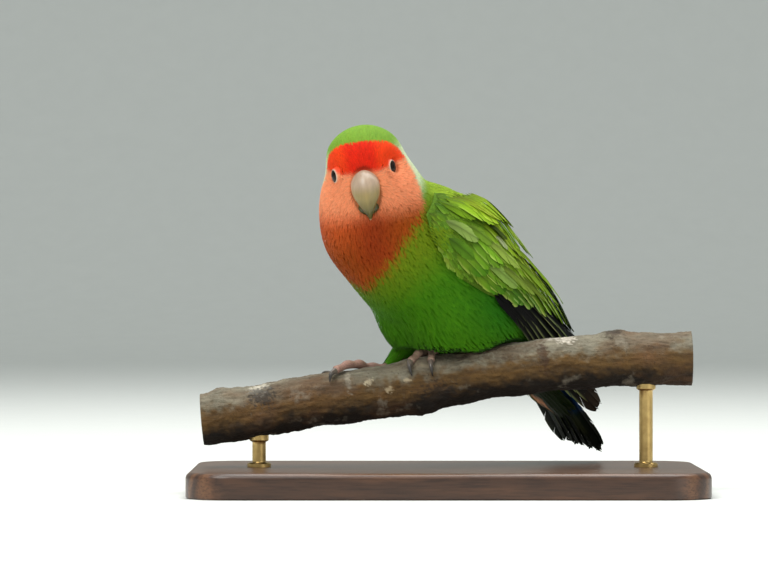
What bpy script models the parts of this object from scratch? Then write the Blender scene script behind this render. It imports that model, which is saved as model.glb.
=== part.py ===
# Peach-faced lovebird, life size, perched on a short cut length of branch that two rods
# hold over a flat base. Lengths are in millimetres here and meshes are written in metres.
# World axes: +X to the viewer's right, +Y away from the viewer, +Z up, and the origin is
# the middle of the base's underside.
import math
import random

import bmesh
import bpy
import numpy as np
from mathutils import Matrix, Vector

MM = 0.001
FLAT_ENOUGH = 0.8  # neighbouring faces this many degrees apart count as one
GAP = 0.3  # clearance that touching pieces keep
BILL_GAP = 0.42  # the same for the bill's pocket, whose walls slope
COLLECTION_NAME = "peach_faced_lovebird"

# Base, rods and branch
BASE_LENGTH, BASE_DEPTH, BASE_THICK, BASE_CORNER = 180.0, 114.0, 9.0, 16.0
ROD_RADIUS = 2.4
ROD_PLACES = (-66.0, 70.0)  # along X
ROD_SOCKET = 5.0  # how deep a rod stands in the base and in the branch
BRANCH_HALF_LENGTH = 86.0
BRANCH_RADIUS = 9.3
BRANCH_LINE = (  # height of the branch's centre line along X
    (-86.0, 25.4), (-72.0, 27.8), (-52.0, 31.4), (-23.0, 35.2), (-6.0, 38.2),
    (12.0, 41.6), (26.0, 43.7), (40.0, 45.3), (68.0, 46.9), (86.0, 47.2),
)
BRANCH_KNOTS = (  # x, degrees from the top towards the viewer, radius, how far it stands out
    (-79.0, -8.0, 3.4, 1.2), (-64.0, 118.0, 4.4, 2.2), (-9.0, 172.0, 4.6, 1.7),
    (59.0, 2.0, 5.6, 2.2), (30.0, 60.0, 3.0, 0.9), (72.0, -70.0, 4.2, 1.6),
)

# Torso: its middle and the way it leans
TORSO_CENTRE = (-2.5, 4.0, 78.2)
BODY_YAW = 36.0  # degrees from facing the viewer's left towards the viewer
BODY_PITCH = 43.0  # degrees that the breast end rises
# Head: its middle and the way it looks
HEAD_CENTRE = (-29.0, -17.0, 113.0)
HEAD_YAW, HEAD_PITCH, HEAD_ROLL = 0.0, 12.0, 9.5

# Flesh and plumage as rounded forms: middle and half sizes.
# Torso forms are (towards the head, to the left, towards the back).
TORSO_FORMS = {
    "trunk": ((-6.5, 0.0, -0.3), (45.3, 22.3, 22.8)),
    "breast": ((13.7, 0.0, -6.6), (25.3, 21.7, 20.5)),
    "crop": ((29.6, -2.5, -11.4), (16.5, 15.3, 14.3)),
    "belly": ((-12.9, 0.0, -6.9), (27.1, 19.6, 19.6)),
    "mantle": ((5.6, 0.0, 8.2), (22.9, 17.6, 16.3)),
    "rump": ((-30.9, 0.0, 7.5), (27.9, 14.6, 14.6)),
    "thigh_left": ((-12.9, 10.5, -12.9), (14.1, 8.0, 8.8)),
    "thigh_right": ((-12.9, -10.5, -12.9), (14.1, 8.0, 8.8)),
    "trouser_left": ((-15.0, 8.0, -17.0), (9.0, 6.5, 9.0)),
    "trouser_right": ((-7.7, -8.2, -22.1), (11.7, 6.1, 6.5)),
    "neck": ((37.3, 0.0, -1.4), (15.6, 17.2, 16.9)),
}
# Head forms are (forwards, to the left, upwards).
HEAD_FORMS = {
    "skull": ((-1.7, 0.0, 4.8), (14.0, 13.0, 10.9)),
    "face": ((5.8, 0.0, -2.7), (9.8, 9.3, 9.5)),
    "cheek_left": ((1.3, 6.1, -9.8), (10.8, 8.2, 9.4)),
    "cheek_right": ((1.3, -6.1, -9.8), (10.8, 8.2, 9.4)),
    "throat": ((2.5, 0.0, -14.2), (11.0, 13.3, 9.9)),
    "nape": ((-6.3, 0.0, -8.3), (9.9, 11.7, 11.9)),
}
EYE_DENT, EYE_DENT_WIDTH = 1.3, 4.6  # how deep and how wide the plumage dips round an eye
FORM_BLEND = 5.0  # how softly the forms run into one another

# Stations along the spine: towards the head, towards the back (torso axes)
SPINE_TORSO = ((-48.0, 7.0), (-36.0, 4.5), (-12.0, 0.0), (10.0, 0.0), (25.0, 1.0))
NECK_TURNS = (0.3, 0.65)  # share of the turn from torso to head at the last torso station and the neck
HEAD_BASE_DROP = 9.0  # from the head's middle down to the last neck station
TORSO_TOP, NECK_TOP = 4.0, 5.1  # stations of the cuts between torso, neck and head

# Head details in head axes
EYE_PLACE, EYE_LOOK, EYE_RADIUS = (8.5, 7.9, 1.0), (0.42, 0.90, 0.08), 3.4
LID_RADIUS, LID_THICK = 2.9, 0.62
NOSTRIL = (12.9, 2.4, 3.2)
# Upper bill stations: forwards, upwards, half width, half depth
UPPER_BILL = (
    (11.4, -2.0, 4.4, 4.6), (13.2, -1.7, 5.8, 5.2), (15.6, -2.4, 6.1, 4.9), (17.9, -4.7, 5.4, 4.1),
    (19.2, -7.6, 4.3, 3.2), (19.4, -10.4, 2.8, 2.2), (18.9, -12.6, 1.5, 1.2), (18.3, -14.0, 0.45, 0.4),
)
LOWER_BILL = (
    (8.5, -8.2, 3.6, 2.8), (11.0, -8.9, 4.9, 3.3), (14.0, -10.2, 4.3, 2.8), (16.0, -10.6, 3.2, 2.2),
    (17.0, -10.4, 2.2, 1.6),
)
CERE = ((11.6, 0.0, 1.9), (2.2, 4.2, 1.7))

# Wing: outline of the feathered arm in torso axes, at stations from the shoulder back
WING_STATIONS = (28.0, 22.0, 13.0, 3.0, -8.0, -16.0)
WING_LOWER = (92.0, 78.0, 71.0, 69.0, 73.0, 82.0)  # degrees round from the belly
WING_UPPER = (126.0, 142.0, 150.0, 152.0, 150.0, 144.0)
WING_THICK, WING_CLEAR = 2.8, 0.6  # thickest part, and what its inner face keeps from the flank
WING_FREE = (  # along the body: radius of the sheet of flight feathers, and its offset towards the back
    (30.0, 8.0, 2.0), (0.0, 18.6, 5.0), (-11.0, 19.0, 6.0), (-27.0, 17.4, 7.5), (-38.0, 15.6, 7.8),
    (-51.0, 13.2, 7.4), (-70.0, 11.8, 5.5), (-84.0, 11.0, 3.5),
)
# Tiers: count, root first and last, tip first and last (along, degrees), half width, height at
# the root, past the root and at the tip, what each next feather adds to it, roll at the root,
# twist and bow in degrees, and the share of the length where the end starts to round
WING_TIERS = {
    "primaries": dict(count=4, root=((-10, 86), (-13, 104)), tip=((-82.5, 140), (-62, 154)), half_width=4.3,
                      height=(1.5, 1.8, 1.6), rise=0.5, roll=-4.0, twist=30.0, steps=7, bow=12.0, blunt=0.84),
    "secondaries": dict(count=6, root=((-8, 88), (-10, 138)), tip=((-30, 101), (-52, 151)), half_width=4.6,
                        height=(1.9, 3.3, 3.2), rise=0.1, roll=-9.0, twist=0.0, steps=4, bow=3.0, blunt=0.7),
    "greater_coverts": dict(count=5, root=((5, 80), (4, 128)), tip=((-13, 86), (-28, 134)), half_width=4.9,
                            height=(1.6, 3.8, 4.5), rise=0.06, roll=-8.5, twist=0.0, steps=3, bow=0.0,
                            blunt=0.6),
    "median_coverts": dict(count=4, root=((15, 84), (14, 120)), tip=((-1, 78), (-9, 124)), half_width=5.2,
                           height=(2.0, 4.2, 5.3), rise=0.06, roll=-8.5, twist=0.0, steps=3, bow=0.0,
                           blunt=0.6),
    "scapulars": dict(count=3, root=((20, 134), (16, 146)), tip=((2, 136), (-10, 148)), half_width=4.8,
                      height=(2.4, 5.0, 4.6), rise=0.2, roll=-5.0, twist=0.0, steps=3, bow=0.0,
                      blunt=0.6),
}
VANE_EDGE, VANE_SHAFT = 0.5, 0.62  # thickness of a vane at its edge and along its shaft

# Tail
TAIL_DROOP = 6.5  # degrees that the tail hangs below the line of the back
TAIL_LENGTH, TAIL_STEP, TAIL_FAN = 46.5, 1.1, 9.0  # longest vane, what each pair loses, fan in degrees
TAIL_HALF_WIDTH, TAIL_PAIRS = 4.0, 5
TAIL_BLUNT = 0.75  # where a vane's end starts to round
TAIL_SPREAD, TAIL_DROP = 1.15, 0.85  # how far each pair's root lies outwards and below the last
TAIL_STUMP = 15.0  # how far the flesh and down of the tail reach
TAIL_COVERTS = {"upper": (3, 24.0, 4.4, 5.0), "under": (4, 27.0, -5.4, 4.7)}  # count, length, lift, spread

# Legs: where each foot stands (X, degrees round the branch from its top towards the viewer) and
# the toes' ends likewise, with the radius at the root and at the end
FOOT_PLACES = {"right": (-19.0, -46.0), "left": (-1.0, -26.0)}
TOES = {  # the last but one place is the toe's end, the last is the claw's tip
    "right": {"toe_2": ((-30.0, -52.0), (-38.5, -40.0), (-43.0, -26.0)),
              "toe_3": ((-26.0, -38.0), (-30.5, -13.0), (-34.5, 8.0), (-37.6, 26.0), (-40.2, 52.0)),
              "toe_4": ((-10.0, -98.0), (-7.5, -126.0)),
              "toe_1": ((-20.0, -104.0), (-21.5, -134.0))},
    "left": {"toe_2": ((-3.0, 8.0), (-4.2, 42.0), (-4.6, 74.0)),
             "toe_3": ((-7.0, 4.0), (-11.0, 34.0), (-11.6, 66.0)),
             "toe_4": ((8.5, -84.0), (11.0, -114.0)),
             "toe_1": ((-3.0, -92.0), (-4.5, -122.0))},
}
TOE_RADII = {"toe_1": (1.5, 1.05), "toe_2": (1.6, 1.15), "toe_3": (1.75, 1.3), "toe_4": (1.65, 1.15)}
TARSUS_RADIUS = 1.9
HIP_PLACES = {"right": (-14.0, -9.0, -14.0), "left": (-15.0, 9.0, -12.0)}  # torso axes
FOOT_HOLLOW, FOOT_HOLLOW_WIDTH = 3.8, 10.5  # how far the plumage lifts over a foot, and how wide
HIND_HOLLOWS, HIND_HOLLOW_WIDTH = (9.5, -8.0), 8.0  # X of the hollows over the hind toes

COLOURS = {  # base colour, roughness, metallic
    "green": ((0.16, 0.36, 0.04), 0.75, 0.0),
    "peach": ((0.80, 0.26, 0.11), 0.8, 0.0),
    "wing": ((0.22, 0.36, 0.07), 0.7, 0.0),
    "tail": ((0.06, 0.20, 0.09), 0.65, 0.0),
    "horn": ((0.62, 0.52, 0.36), 0.35, 0.0),
    "claw": ((0.12, 0.11, 0.10), 0.4, 0.0),
    "eye": ((0.012, 0.008, 0.006), 0.08, 0.0),
    "foot": ((0.42, 0.33, 0.29), 0.6, 0.0),
    "bark": ((0.22, 0.17, 0.11), 0.9, 0.0),
    "base": ((0.10, 0.055, 0.03), 0.4, 0.0),
    "rod": ((0.55, 0.43, 0.22), 0.3, 1.0),
}


# Axes and places

def body_axes():
    yaw, pitch = math.radians(BODY_YAW), math.radians(BODY_PITCH)
    along = np.array((-math.cos(yaw) * math.cos(pitch), -math.sin(yaw) * math.cos(pitch), math.sin(pitch)))
    left = np.array((math.sin(yaw), -math.cos(yaw), 0.0))
    return along, left, np.cross(along, left)


def head_axes():
    yaw, pitch, roll = (math.radians(a) for a in (HEAD_YAW, HEAD_PITCH, HEAD_ROLL))
    ahead = np.array((math.sin(yaw) * math.cos(pitch), -math.cos(yaw) * math.cos(pitch), -math.sin(pitch)))
    level = np.array((math.cos(yaw), math.sin(yaw), 0.0))
    upright = np.cross(ahead, level)
    left = level * math.cos(roll) + upright * math.sin(roll)
    return ahead, left, np.cross(ahead, left)


ALONG, SIDE, BACK = body_axes()
AHEAD, HEAD_LEFT, HEAD_UP = head_axes()
TORSO_AT = np.array(TORSO_CENTRE)
HEAD_AT = np.array(HEAD_CENTRE)


def torso_point(along, left, back):
    return TORSO_AT + ALONG * along + SIDE * left + BACK * back


def head_point(ahead, left, up):
    return HEAD_AT + AHEAD * ahead + HEAD_LEFT * left + HEAD_UP * up


def branch_height(x):
    xs, zs = zip(*BRANCH_LINE)
    return np.interp(x, xs, zs)


def branch_slope(x):
    return (branch_height(x + 4.0) - branch_height(x - 4.0)) / 8.0


def on_branch(x, turn, clear):
    # A point at this X, turned by so many degrees from the top towards the viewer, clear of the bark.
    turn, slope = math.radians(turn), math.atan(branch_slope(x))
    reach = BRANCH_RADIUS + clear
    return np.array((
        x - reach * math.cos(turn) * math.sin(slope),
        -reach * math.sin(turn),
        branch_height(x) + reach * math.cos(turn) * math.cos(slope),
    ))


def off_branch(points):
    slope = branch_slope(points[..., 0])
    rise = (points[..., 2] - branch_height(points[..., 0])) / np.sqrt(1.0 + slope * slope)
    return np.hypot(points[..., 1], rise) - BRANCH_RADIUS


# The body's form

def all_forms():
    torso, head = np.array((ALONG, SIDE, BACK)), np.array((AHEAD, HEAD_LEFT, HEAD_UP))
    forms = [(torso_point(*at), torso, np.array(half, float)) for at, half in TORSO_FORMS.values()]
    return forms + [(head_point(*at), head, np.array(half, float)) for at, half in HEAD_FORMS.values()]


FORMS = all_forms()
BRANCH_CLEAR = 1.1


def branch_clear(points):
    # What the plumage keeps free above the bark, more over the feet.
    clear = np.full(points.shape[:-1], BRANCH_CLEAR)
    for foot_x, _ in FOOT_PLACES.values():
        away = (points[..., 0] - foot_x) / FOOT_HOLLOW_WIDTH
        clear = np.maximum(clear, BRANCH_CLEAR + FOOT_HOLLOW * np.exp(-away**4))
    behind = np.clip((points[..., 1] - 1.0) / 4.0, 0.0, 1.0)
    for hollow_x in HIND_HOLLOWS:
        away = (points[..., 0] - hollow_x) / HIND_HOLLOW_WIDTH
        clear = np.maximum(clear, BRANCH_CLEAR + FOOT_HOLLOW * np.exp(-away**4) * behind)
    return clear


def off_body(points):
    # Roughly how far points lie outside the body, in millimetres.
    total = None
    for centre, axes, half in FORMS:
        local = (points - centre) @ axes.T
        near = np.linalg.norm(local / half, axis=-1)
        steep = np.linalg.norm(local / half**2, axis=-1) + 1e-9
        reach = near * (near - 1.0) / steep
        share = np.exp(np.clip(-reach / FORM_BLEND * 2.0, -60.0, 60.0))
        total = share if total is None else total + share
    body = -np.log(total) * FORM_BLEND / 2.0
    for side in (1, -1):
        away = np.sum((points - eye_centre(side) - eye_axes(side)[2] * EYE_RADIUS) ** 2, axis=-1)
        body = body + EYE_DENT * np.exp(-away / EYE_DENT_WIDTH**2)
    return np.maximum(body, branch_clear(points) - off_branch(points))


def spine_knots():
    torso = Matrix(np.array((-BACK, SIDE, ALONG)).T.tolist()).to_quaternion()
    head = Matrix(np.array((AHEAD, HEAD_LEFT, HEAD_UP)).T.tolist()).to_quaternion()
    places = [torso_point(along, 0.0, back) for along, back in SPINE_TORSO]
    turns = [0.0] * (len(places) - 1) + [NECK_TURNS[0]]
    head_base = HEAD_AT - HEAD_UP * HEAD_BASE_DROP
    places += [(places[-1] + head_base) / 2.0, head_base, HEAD_AT]
    turns += [NECK_TURNS[1], 1.0, 1.0]
    return places, [torso.slerp(head, turn) for turn in turns]


SPINE_PLACES, SPINE_TURNS = spine_knots()
LAST_STATION = len(SPINE_PLACES) - 1


def spine_at(station):
    # Place on the spine and its axes: towards the front, to the left, along the spine.
    station = min(max(station, 0.0), LAST_STATION)
    low = min(int(station), LAST_STATION - 1)
    share = station - low
    before, after = max(low - 1, 0), min(low + 2, LAST_STATION)
    a, b, c, d = (SPINE_PLACES[i] for i in (before, low, low + 1, after))
    place = 0.5 * (2 * b + (c - a) * share + (2 * a - 5 * b + 4 * c - d) * share**2
                   + (3 * b - a - 3 * c + d) * share**3)
    turn = SPINE_TURNS[low].slerp(SPINE_TURNS[low + 1], share)
    return place, np.array(turn.to_matrix()).T


def reach_to_skin(origins, ways, clear=0.0, longest=48.0, step=0.6):
    # How far each ray runs before it leaves the body grown by this clearance.
    distances = np.arange(1.0, longest, step)
    points = origins[:, None, :] + ways[:, None, :] * distances[None, :, None]
    outside = off_body(points) > clear
    first = np.where(outside.any(axis=1), outside.argmax(axis=1), len(distances) - 1)
    high = distances[first]
    low = np.maximum(high - step, 0.0)
    for _ in range(14):
        middle = (low + high) / 2.0
        out = off_body(origins + ways * middle[:, None]) > clear
        high, low = np.where(out, middle, high), np.where(out, low, middle)
    return (low + high) / 2.0


def body_ring(station, count, lift=0.0, dome=0.0, clear=0.0):
    # One ring of the skin; dome tips the rays up towards the crown, in degrees.
    place, axes = spine_at(station)
    place = place + axes[2] * lift
    angles = np.arange(count) * (2.0 * math.pi / count)
    flat = np.cos(angles)[:, None] * axes[0] + np.sin(angles)[:, None] * axes[1]
    rise = math.radians(dome)
    ways = flat * math.cos(rise) + axes[2] * math.sin(rise)
    origins = np.repeat(place[None, :], count, axis=0)
    return origins + ways * reach_to_skin(origins, ways, clear)[:, None]


# Mesh helpers

def collection():
    found = bpy.data.collections.get(COLLECTION_NAME)
    if found is None:
        found = bpy.data.collections.new(COLLECTION_NAME)
        bpy.context.scene.collection.children.link(found)
    return found


def material(kind):
    name = "lovebird_" + kind
    found = bpy.data.materials.get(name)
    if found is None:
        colour, rough, metal = COLOURS[kind]
        found = bpy.data.materials.new(name)
        found.use_nodes = True
        shader = found.node_tree.nodes["Principled BSDF"]
        shader.inputs["Base Color"].default_value = (*colour, 1.0)
        shader.inputs["Roughness"].default_value = rough
        shader.inputs["Metallic"].default_value = metal
    return found


def mesh_object(name, points, faces, kind="green"):
    mesh = bpy.data.meshes.new(name)
    mesh.from_pydata([tuple(float(c) * MM for c in p) for p in points], [], faces)
    mesh.validate()
    work = bmesh.new()
    work.from_mesh(mesh)
    bmesh.ops.recalc_face_normals(work, faces=work.faces)
    if work.calc_volume(signed=True) < 0:
        bmesh.ops.reverse_faces(work, faces=work.faces)
    work.to_mesh(mesh)
    work.free()
    made = bpy.data.objects.new(name, mesh)
    made.data.materials.append(material(kind))
    collection().objects.link(made)
    return made


def loft(name, rings, kind="green", end_tip=None):
    # Closed form through rings of equal count; end_tip closes the last ring to a point.
    count = len(rings[0])
    points = [p for ring in rings for p in ring]
    faces = []
    for low in range(len(rings) - 1):
        a, b = low * count, (low + 1) * count
        for i in range(count):
            j = (i + 1) % count
            faces.append((a + i, a + j, b + j, b + i))
    faces.append(tuple(reversed(range(count))))
    last = (len(rings) - 1) * count
    if end_tip is None:
        faces.append(tuple(range(last, last + count)))
    else:
        points.append(end_tip)
        faces += [(last + i, last + (i + 1) % count, len(points) - 1) for i in range(count)]
    return mesh_object(name, points, faces, kind)


def smooth(made, sharp=38.0):
    made.data.shade_smooth()
    made.data.set_sharp_from_angle(angle=math.radians(sharp))
    return made


def keep_largest(made):
    work = bmesh.new()
    work.from_mesh(made.data)
    bmesh.ops.remove_doubles(work, verts=work.verts, dist=0.004 * MM)
    bmesh.ops.dissolve_degenerate(work, edges=work.edges, dist=0.002 * MM)
    left, islands = set(work.verts), []
    while left:
        start = left.pop()
        island, front = {start}, [start]
        while front:
            for edge in front.pop().link_edges:
                for vertex in edge.verts:
                    if vertex in left:
                        left.discard(vertex)
                        island.add(vertex)
                        front.append(vertex)
        islands.append(island)
    islands.sort(key=len, reverse=True)
    for island in islands[1:]:
        bmesh.ops.delete(work, geom=list(island), context="VERTS")
    bmesh.ops.dissolve_limit(work, angle_limit=math.radians(FLAT_ENOUGH), use_dissolve_boundaries=False,
                             verts=work.verts, edges=work.edges)
    bmesh.ops.triangulate(work, faces=work.faces)
    work.to_mesh(made.data)
    work.free()
    return made


def boolean(made, others, operation, solver="EXACT"):
    # Applies one Boolean with a collection of closed meshes, then removes them.
    helpers = bpy.data.collections.new("helpers")
    bpy.context.scene.collection.children.link(helpers)
    for other in others:
        helpers.objects.link(other)
    modifier = made.modifiers.new("join", "BOOLEAN")
    modifier.operation = operation
    modifier.operand_type = "COLLECTION"
    modifier.collection = helpers
    modifier.solver = solver
    bpy.context.view_layer.update()
    graph = bpy.context.evaluated_depsgraph_get()
    result = bpy.data.meshes.new_from_object(made.evaluated_get(graph))
    made.modifiers.clear()
    old = made.data
    made.data = result
    result.name = old.name
    bpy.data.meshes.remove(old)
    for other in others:
        bpy.data.objects.remove(other)
    bpy.data.collections.remove(helpers)
    return made


def fuse(made, pieces, solver="MANIFOLD"):
    return keep_largest(boolean(made, pieces, "UNION", solver))


def cut(made, cutters, solver="MANIFOLD"):
    return keep_largest(boolean(made, cutters, "DIFFERENCE", solver))


def ellipsoid(name, centre, axes, half, segments=16, rings=10, kind="green"):
    # A sphere stretched along three axes.
    stretch = Matrix((np.array(axes).T * np.array(half, float) * MM).tolist()).to_4x4()
    stretch.translation = Vector(np.array(centre) * MM)
    work = bmesh.new()
    bmesh.ops.create_uvsphere(work, u_segments=segments, v_segments=rings, radius=1.0, matrix=stretch)
    bmesh.ops.recalc_face_normals(work, faces=work.faces)
    mesh = bpy.data.meshes.new(name)
    work.to_mesh(mesh)
    work.free()
    made = bpy.data.objects.new(name, mesh)
    mesh.materials.append(material(kind))
    collection().objects.link(made)
    return made


def adopt(name, kind):
    # Takes the primitive just added into the model's own collection.
    made = bpy.context.object
    bpy.context.view_layer.update()
    made.data.transform(made.matrix_world)
    made.matrix_world = Matrix.Identity(4)
    made.name = name
    for owner in list(made.users_collection):
        owner.objects.unlink(made)
    collection().objects.link(made)
    made.data.materials.clear()
    made.data.materials.append(material(kind))
    return made


def frames_along(path):
    # Tangent at each point of a path.
    path = np.array(path)
    ways = np.gradient(path, axis=0)
    return ways / np.linalg.norm(ways, axis=1)[:, None]


def tube(name, path, radii, segments=7, kind="foot", round_tip=True):
    # Tapered tube through points, with a blunt or a pointed end.
    path, ways = np.array(path), frames_along(path)
    side = np.cross(ways[0], (0.0, 1.0, 0.3))
    rings = []
    for place, way, radius in zip(path, ways, radii):
        side = side - way * np.dot(side, way)
        side = side / np.linalg.norm(side)
        other = np.cross(way, side)
        turns = np.arange(segments) * (2.0 * math.pi / segments)
        rings.append(place + (np.cos(turns)[:, None] * side + np.sin(turns)[:, None] * other) * radius)
    tip = path[-1] + ways[-1] * radii[-1] * (0.6 if round_tip else 2.5)
    return loft(name, rings, kind, end_tip=tip)


# Head, neck and torso

def bill_rings(stations, grow, segments):
    # Elliptical sections square to the bill's curved middle line, in head axes.
    line = np.array([(f, 0.0, u) for f, u, _, _ in stations])
    ways = frames_along(line)
    line[0] = line[0] - ways[0] * grow
    rings = []
    for (ahead, _, up), (_, _, wide, deep), way in zip(line, stations, ways):
        across = np.array((-way[2], 0.0, way[0]))
        ring = []
        for i in range(segments):
            turn = 2.0 * math.pi * i / segments
            side, out = math.cos(turn), math.sin(turn)
            # The ridge of the bill is narrower than its cutting edges.
            pinch = 1.0 - 0.16 * max(out, 0.0)
            ring.append(head_point(
                ahead + across[0] * out * (deep + grow),
                side * (wide + grow) * pinch,
                up + across[2] * out * (deep + grow),
            ))
        rings.append(ring)
    return rings, head_point(*(line[-1] + ways[-1] * (0.5 + grow)))


def bill(name, stations, grow=0.0, segments=16):
    rings, tip = bill_rings(stations, grow, segments)
    return loft(name, rings, "horn", end_tip=tip)


def eye_centre(side):
    ahead, left, up = EYE_PLACE
    return head_point(ahead, left * side, up)


def eye_axes(side):
    look = np.array(EYE_LOOK) * (1.0, side, 1.0)
    look = look / np.linalg.norm(look)
    look = AHEAD * look[0] + HEAD_LEFT * look[1] + HEAD_UP * look[2]
    first = np.cross(look, HEAD_UP)
    first = first / np.linalg.norm(first)
    return np.array((first, np.cross(look, first), look))


def eyeball(name, side, grow=0.0, segments=14, rings=8):
    half = np.full(3, EYE_RADIUS + grow)
    return ellipsoid(name, eye_centre(side), eye_axes(side), half, segments, rings, "eye")


def eye_ring(side, segments=16, round_count=6):
    # The bare ring of lid round an eye.
    axes = eye_axes(side)
    depth = math.sqrt(EYE_RADIUS**2 - LID_RADIUS**2)
    turn = Matrix(axes.T.tolist()).to_euler()
    bpy.ops.mesh.primitive_torus_add(
        major_segments=segments, minor_segments=round_count, major_radius=LID_RADIUS * MM,
        minor_radius=LID_THICK * MM, location=(eye_centre(side) + axes[2] * depth) * MM, rotation=turn)
    return adopt("lid", "peach")


def make_head():
    segments, steps = 32, 8
    span = (LAST_STATION - NECK_TOP) / steps
    low = [body_ring(NECK_TOP + span * i, segments, GAP / 2.0 if i == 0 else 0.0) for i in range(steps + 1)]
    dome = [body_ring(LAST_STATION, segments, dome=angle) for angle in (10, 20, 31, 43, 56, 70, 81)]
    crown = body_ring(LAST_STATION, 3, dome=90.0)[0]
    head = loft("head", low + dome, "peach", end_tip=crown)
    head = fuse(head, [eye_ring(1), eye_ring(-1)])
    cutters = [eyeball("cutter_left", 1, GAP), eyeball("cutter_right", -1, GAP)]
    cutters.append(bill("cutter_upper", UPPER_BILL, BILL_GAP))
    cutters.append(bill("cutter_lower", LOWER_BILL, BILL_GAP))
    centre, half = CERE
    cutters.append(ellipsoid("cutter_cere", head_point(*centre), (AHEAD, HEAD_LEFT, HEAD_UP),
                             np.array(half) + GAP, 16, 8))
    return smooth(cut(head, cutters))


def make_bill():
    upper = bill("bill_upper", UPPER_BILL)
    centre, half = CERE
    cere = ellipsoid("cere", head_point(*centre), (AHEAD, HEAD_LEFT, HEAD_UP), half, 16, 8, "horn")
    fuse(upper, [cere])
    pits = []
    for side in (1, -1):
        ahead, left, up = NOSTRIL
        pits.append(ellipsoid("pit", head_point(ahead, left * side, up), (AHEAD, HEAD_LEFT, HEAD_UP),
                              (0.9, 0.75, 0.75), 8, 6, "horn"))
    smooth(cut(upper, pits))
    lower = bill("bill_lower", LOWER_BILL)
    smooth(cut(lower, [bill("cutter", UPPER_BILL, BILL_GAP)]))


def make_eyes():
    for name, side in (("eye_left", 1), ("eye_right", -1)):
        smooth(eyeball(name, side))


def make_neck():
    segments, steps = 32, 4
    lifts = {0: GAP / 2.0, steps: -GAP / 2.0}
    span = (NECK_TOP - TORSO_TOP) / steps
    rings = [body_ring(TORSO_TOP + span * i, segments, lifts.get(i, 0.0)) for i in range(steps + 1)]
    return smooth(loft("neck", rings, "peach"))


def torso_rings(clear=0.0):
    steps, segments = 21, 32
    return [body_ring(TORSO_TOP * i / steps, segments, -GAP / 2.0 if i == steps else 0.0, clear=clear)
            for i in range(steps + 1)]


def make_torso():
    return smooth(loft("torso", torso_rings(), "green"))


# Feathers

def vane(name, centres, sides, outs, half_widths, rolls, camber=0.1, kind="wing", inner=1.0):
    # A thin blade along its centre points, split alike on both faces; inner scales its first half.
    points, count = [], len(centres)
    for centre, side, out, half, roll in zip(centres, sides, outs, half_widths, rolls):
        tilt = math.radians(roll)
        across = side * math.cos(tilt) + out * math.sin(tilt)
        over = out * math.cos(tilt) - side * math.sin(tilt)
        for reach, thick in ((-inner, VANE_EDGE), (0.0, VANE_SHAFT), (1.0, VANE_EDGE)):
            middle = centre + across * half * reach - over * half * camber * abs(reach)
            points.append(middle + over * thick / 2.0)
            points.append(middle - over * thick / 2.0)
    faces = []
    for i in range(count - 1):
        a, b = i * 6, (i + 1) * 6
        for k in (0, 2):
            faces += [(a + k, a + k + 2, b + k + 2), (a + k, b + k + 2, b + k)]
            faces += [(a + k + 1, b + k + 3, a + k + 3), (a + k + 1, b + k + 1, b + k + 3)]
        faces += [(a, b, b + 1), (a, b + 1, a + 1), (a + 4, a + 5, b + 5), (a + 4, b + 5, b + 4)]
    for a, turn in ((0, 1), ((count - 1) * 6, -1)):
        ends = [(a, a + 1, a + 3), (a, a + 3, a + 2), (a + 2, a + 3, a + 5), (a + 2, a + 5, a + 4)]
        faces += [f[::turn] for f in ends]
    return mesh_object(name, points, faces, kind)


def blade_shares(steps, blunt):
    # Stations from root to tip, with the last ones closer together where the end is rounded.
    body = np.linspace(0.0, blunt, steps - 1)
    return np.concatenate((body, (blunt + (1.0 - blunt) * 0.62, 1.0)))


def blade_widths(shares, half_width, blunt, root_share=0.3):
    # Half widths at those stations: full along most of the length, rounded at the end.
    swell = root_share + (1.0 - root_share) * np.minimum(shares * 2.2, 1.0)
    end = np.sqrt(np.clip(1.0 - np.clip((shares - blunt) / (1.02 - blunt), 0.0, 1.0) ** 2, 0.06, 1.0))
    return half_width * swell * end


def polar_point(along, turn, radius, side):
    along, turn, radius = (np.atleast_1d(v).astype(float) for v in (along, turn, radius))
    angle = np.radians(turn)
    ways = np.cos(angle)[:, None] * -BACK + np.sin(angle)[:, None] * SIDE * side
    return TORSO_AT + along[:, None] * ALONG + ways * radius[:, None]


def sheet_radius(along, turn, side):
    # Radius of the surface that the folded wing lies on, about the torso's long axis.
    along, turn = np.atleast_1d(along).astype(float), np.atleast_1d(turn).astype(float)
    held = np.clip(along, -44.0, 30.0)
    origins = TORSO_AT + held[:, None] * ALONG
    ways = polar_point(held, turn, np.ones_like(held), side) - origins
    body = reach_to_skin(origins, ways) * np.clip((along + 60.0) / 16.0, 0.0, 1.0)
    xs, radii, offsets = zip(*reversed(WING_FREE))
    radius, offset = np.interp(along, xs, radii), np.interp(along, xs, offsets)
    away = np.radians(180.0 - turn)
    free = offset * np.cos(away) + np.sqrt(radius**2 - (offset * np.sin(away)) ** 2)
    return np.log(np.exp(body) + np.exp(free))


def sheet_point(along, turn, height, side):
    return polar_point(along, turn, sheet_radius(along, turn, side) + height, side)


def to_polar(points, side):
    local = (points - TORSO_AT) @ np.array((ALONG, SIDE * side, BACK)).T
    return local[:, 0], np.degrees(np.arctan2(local[:, 1], -local[:, 2]))


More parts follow.
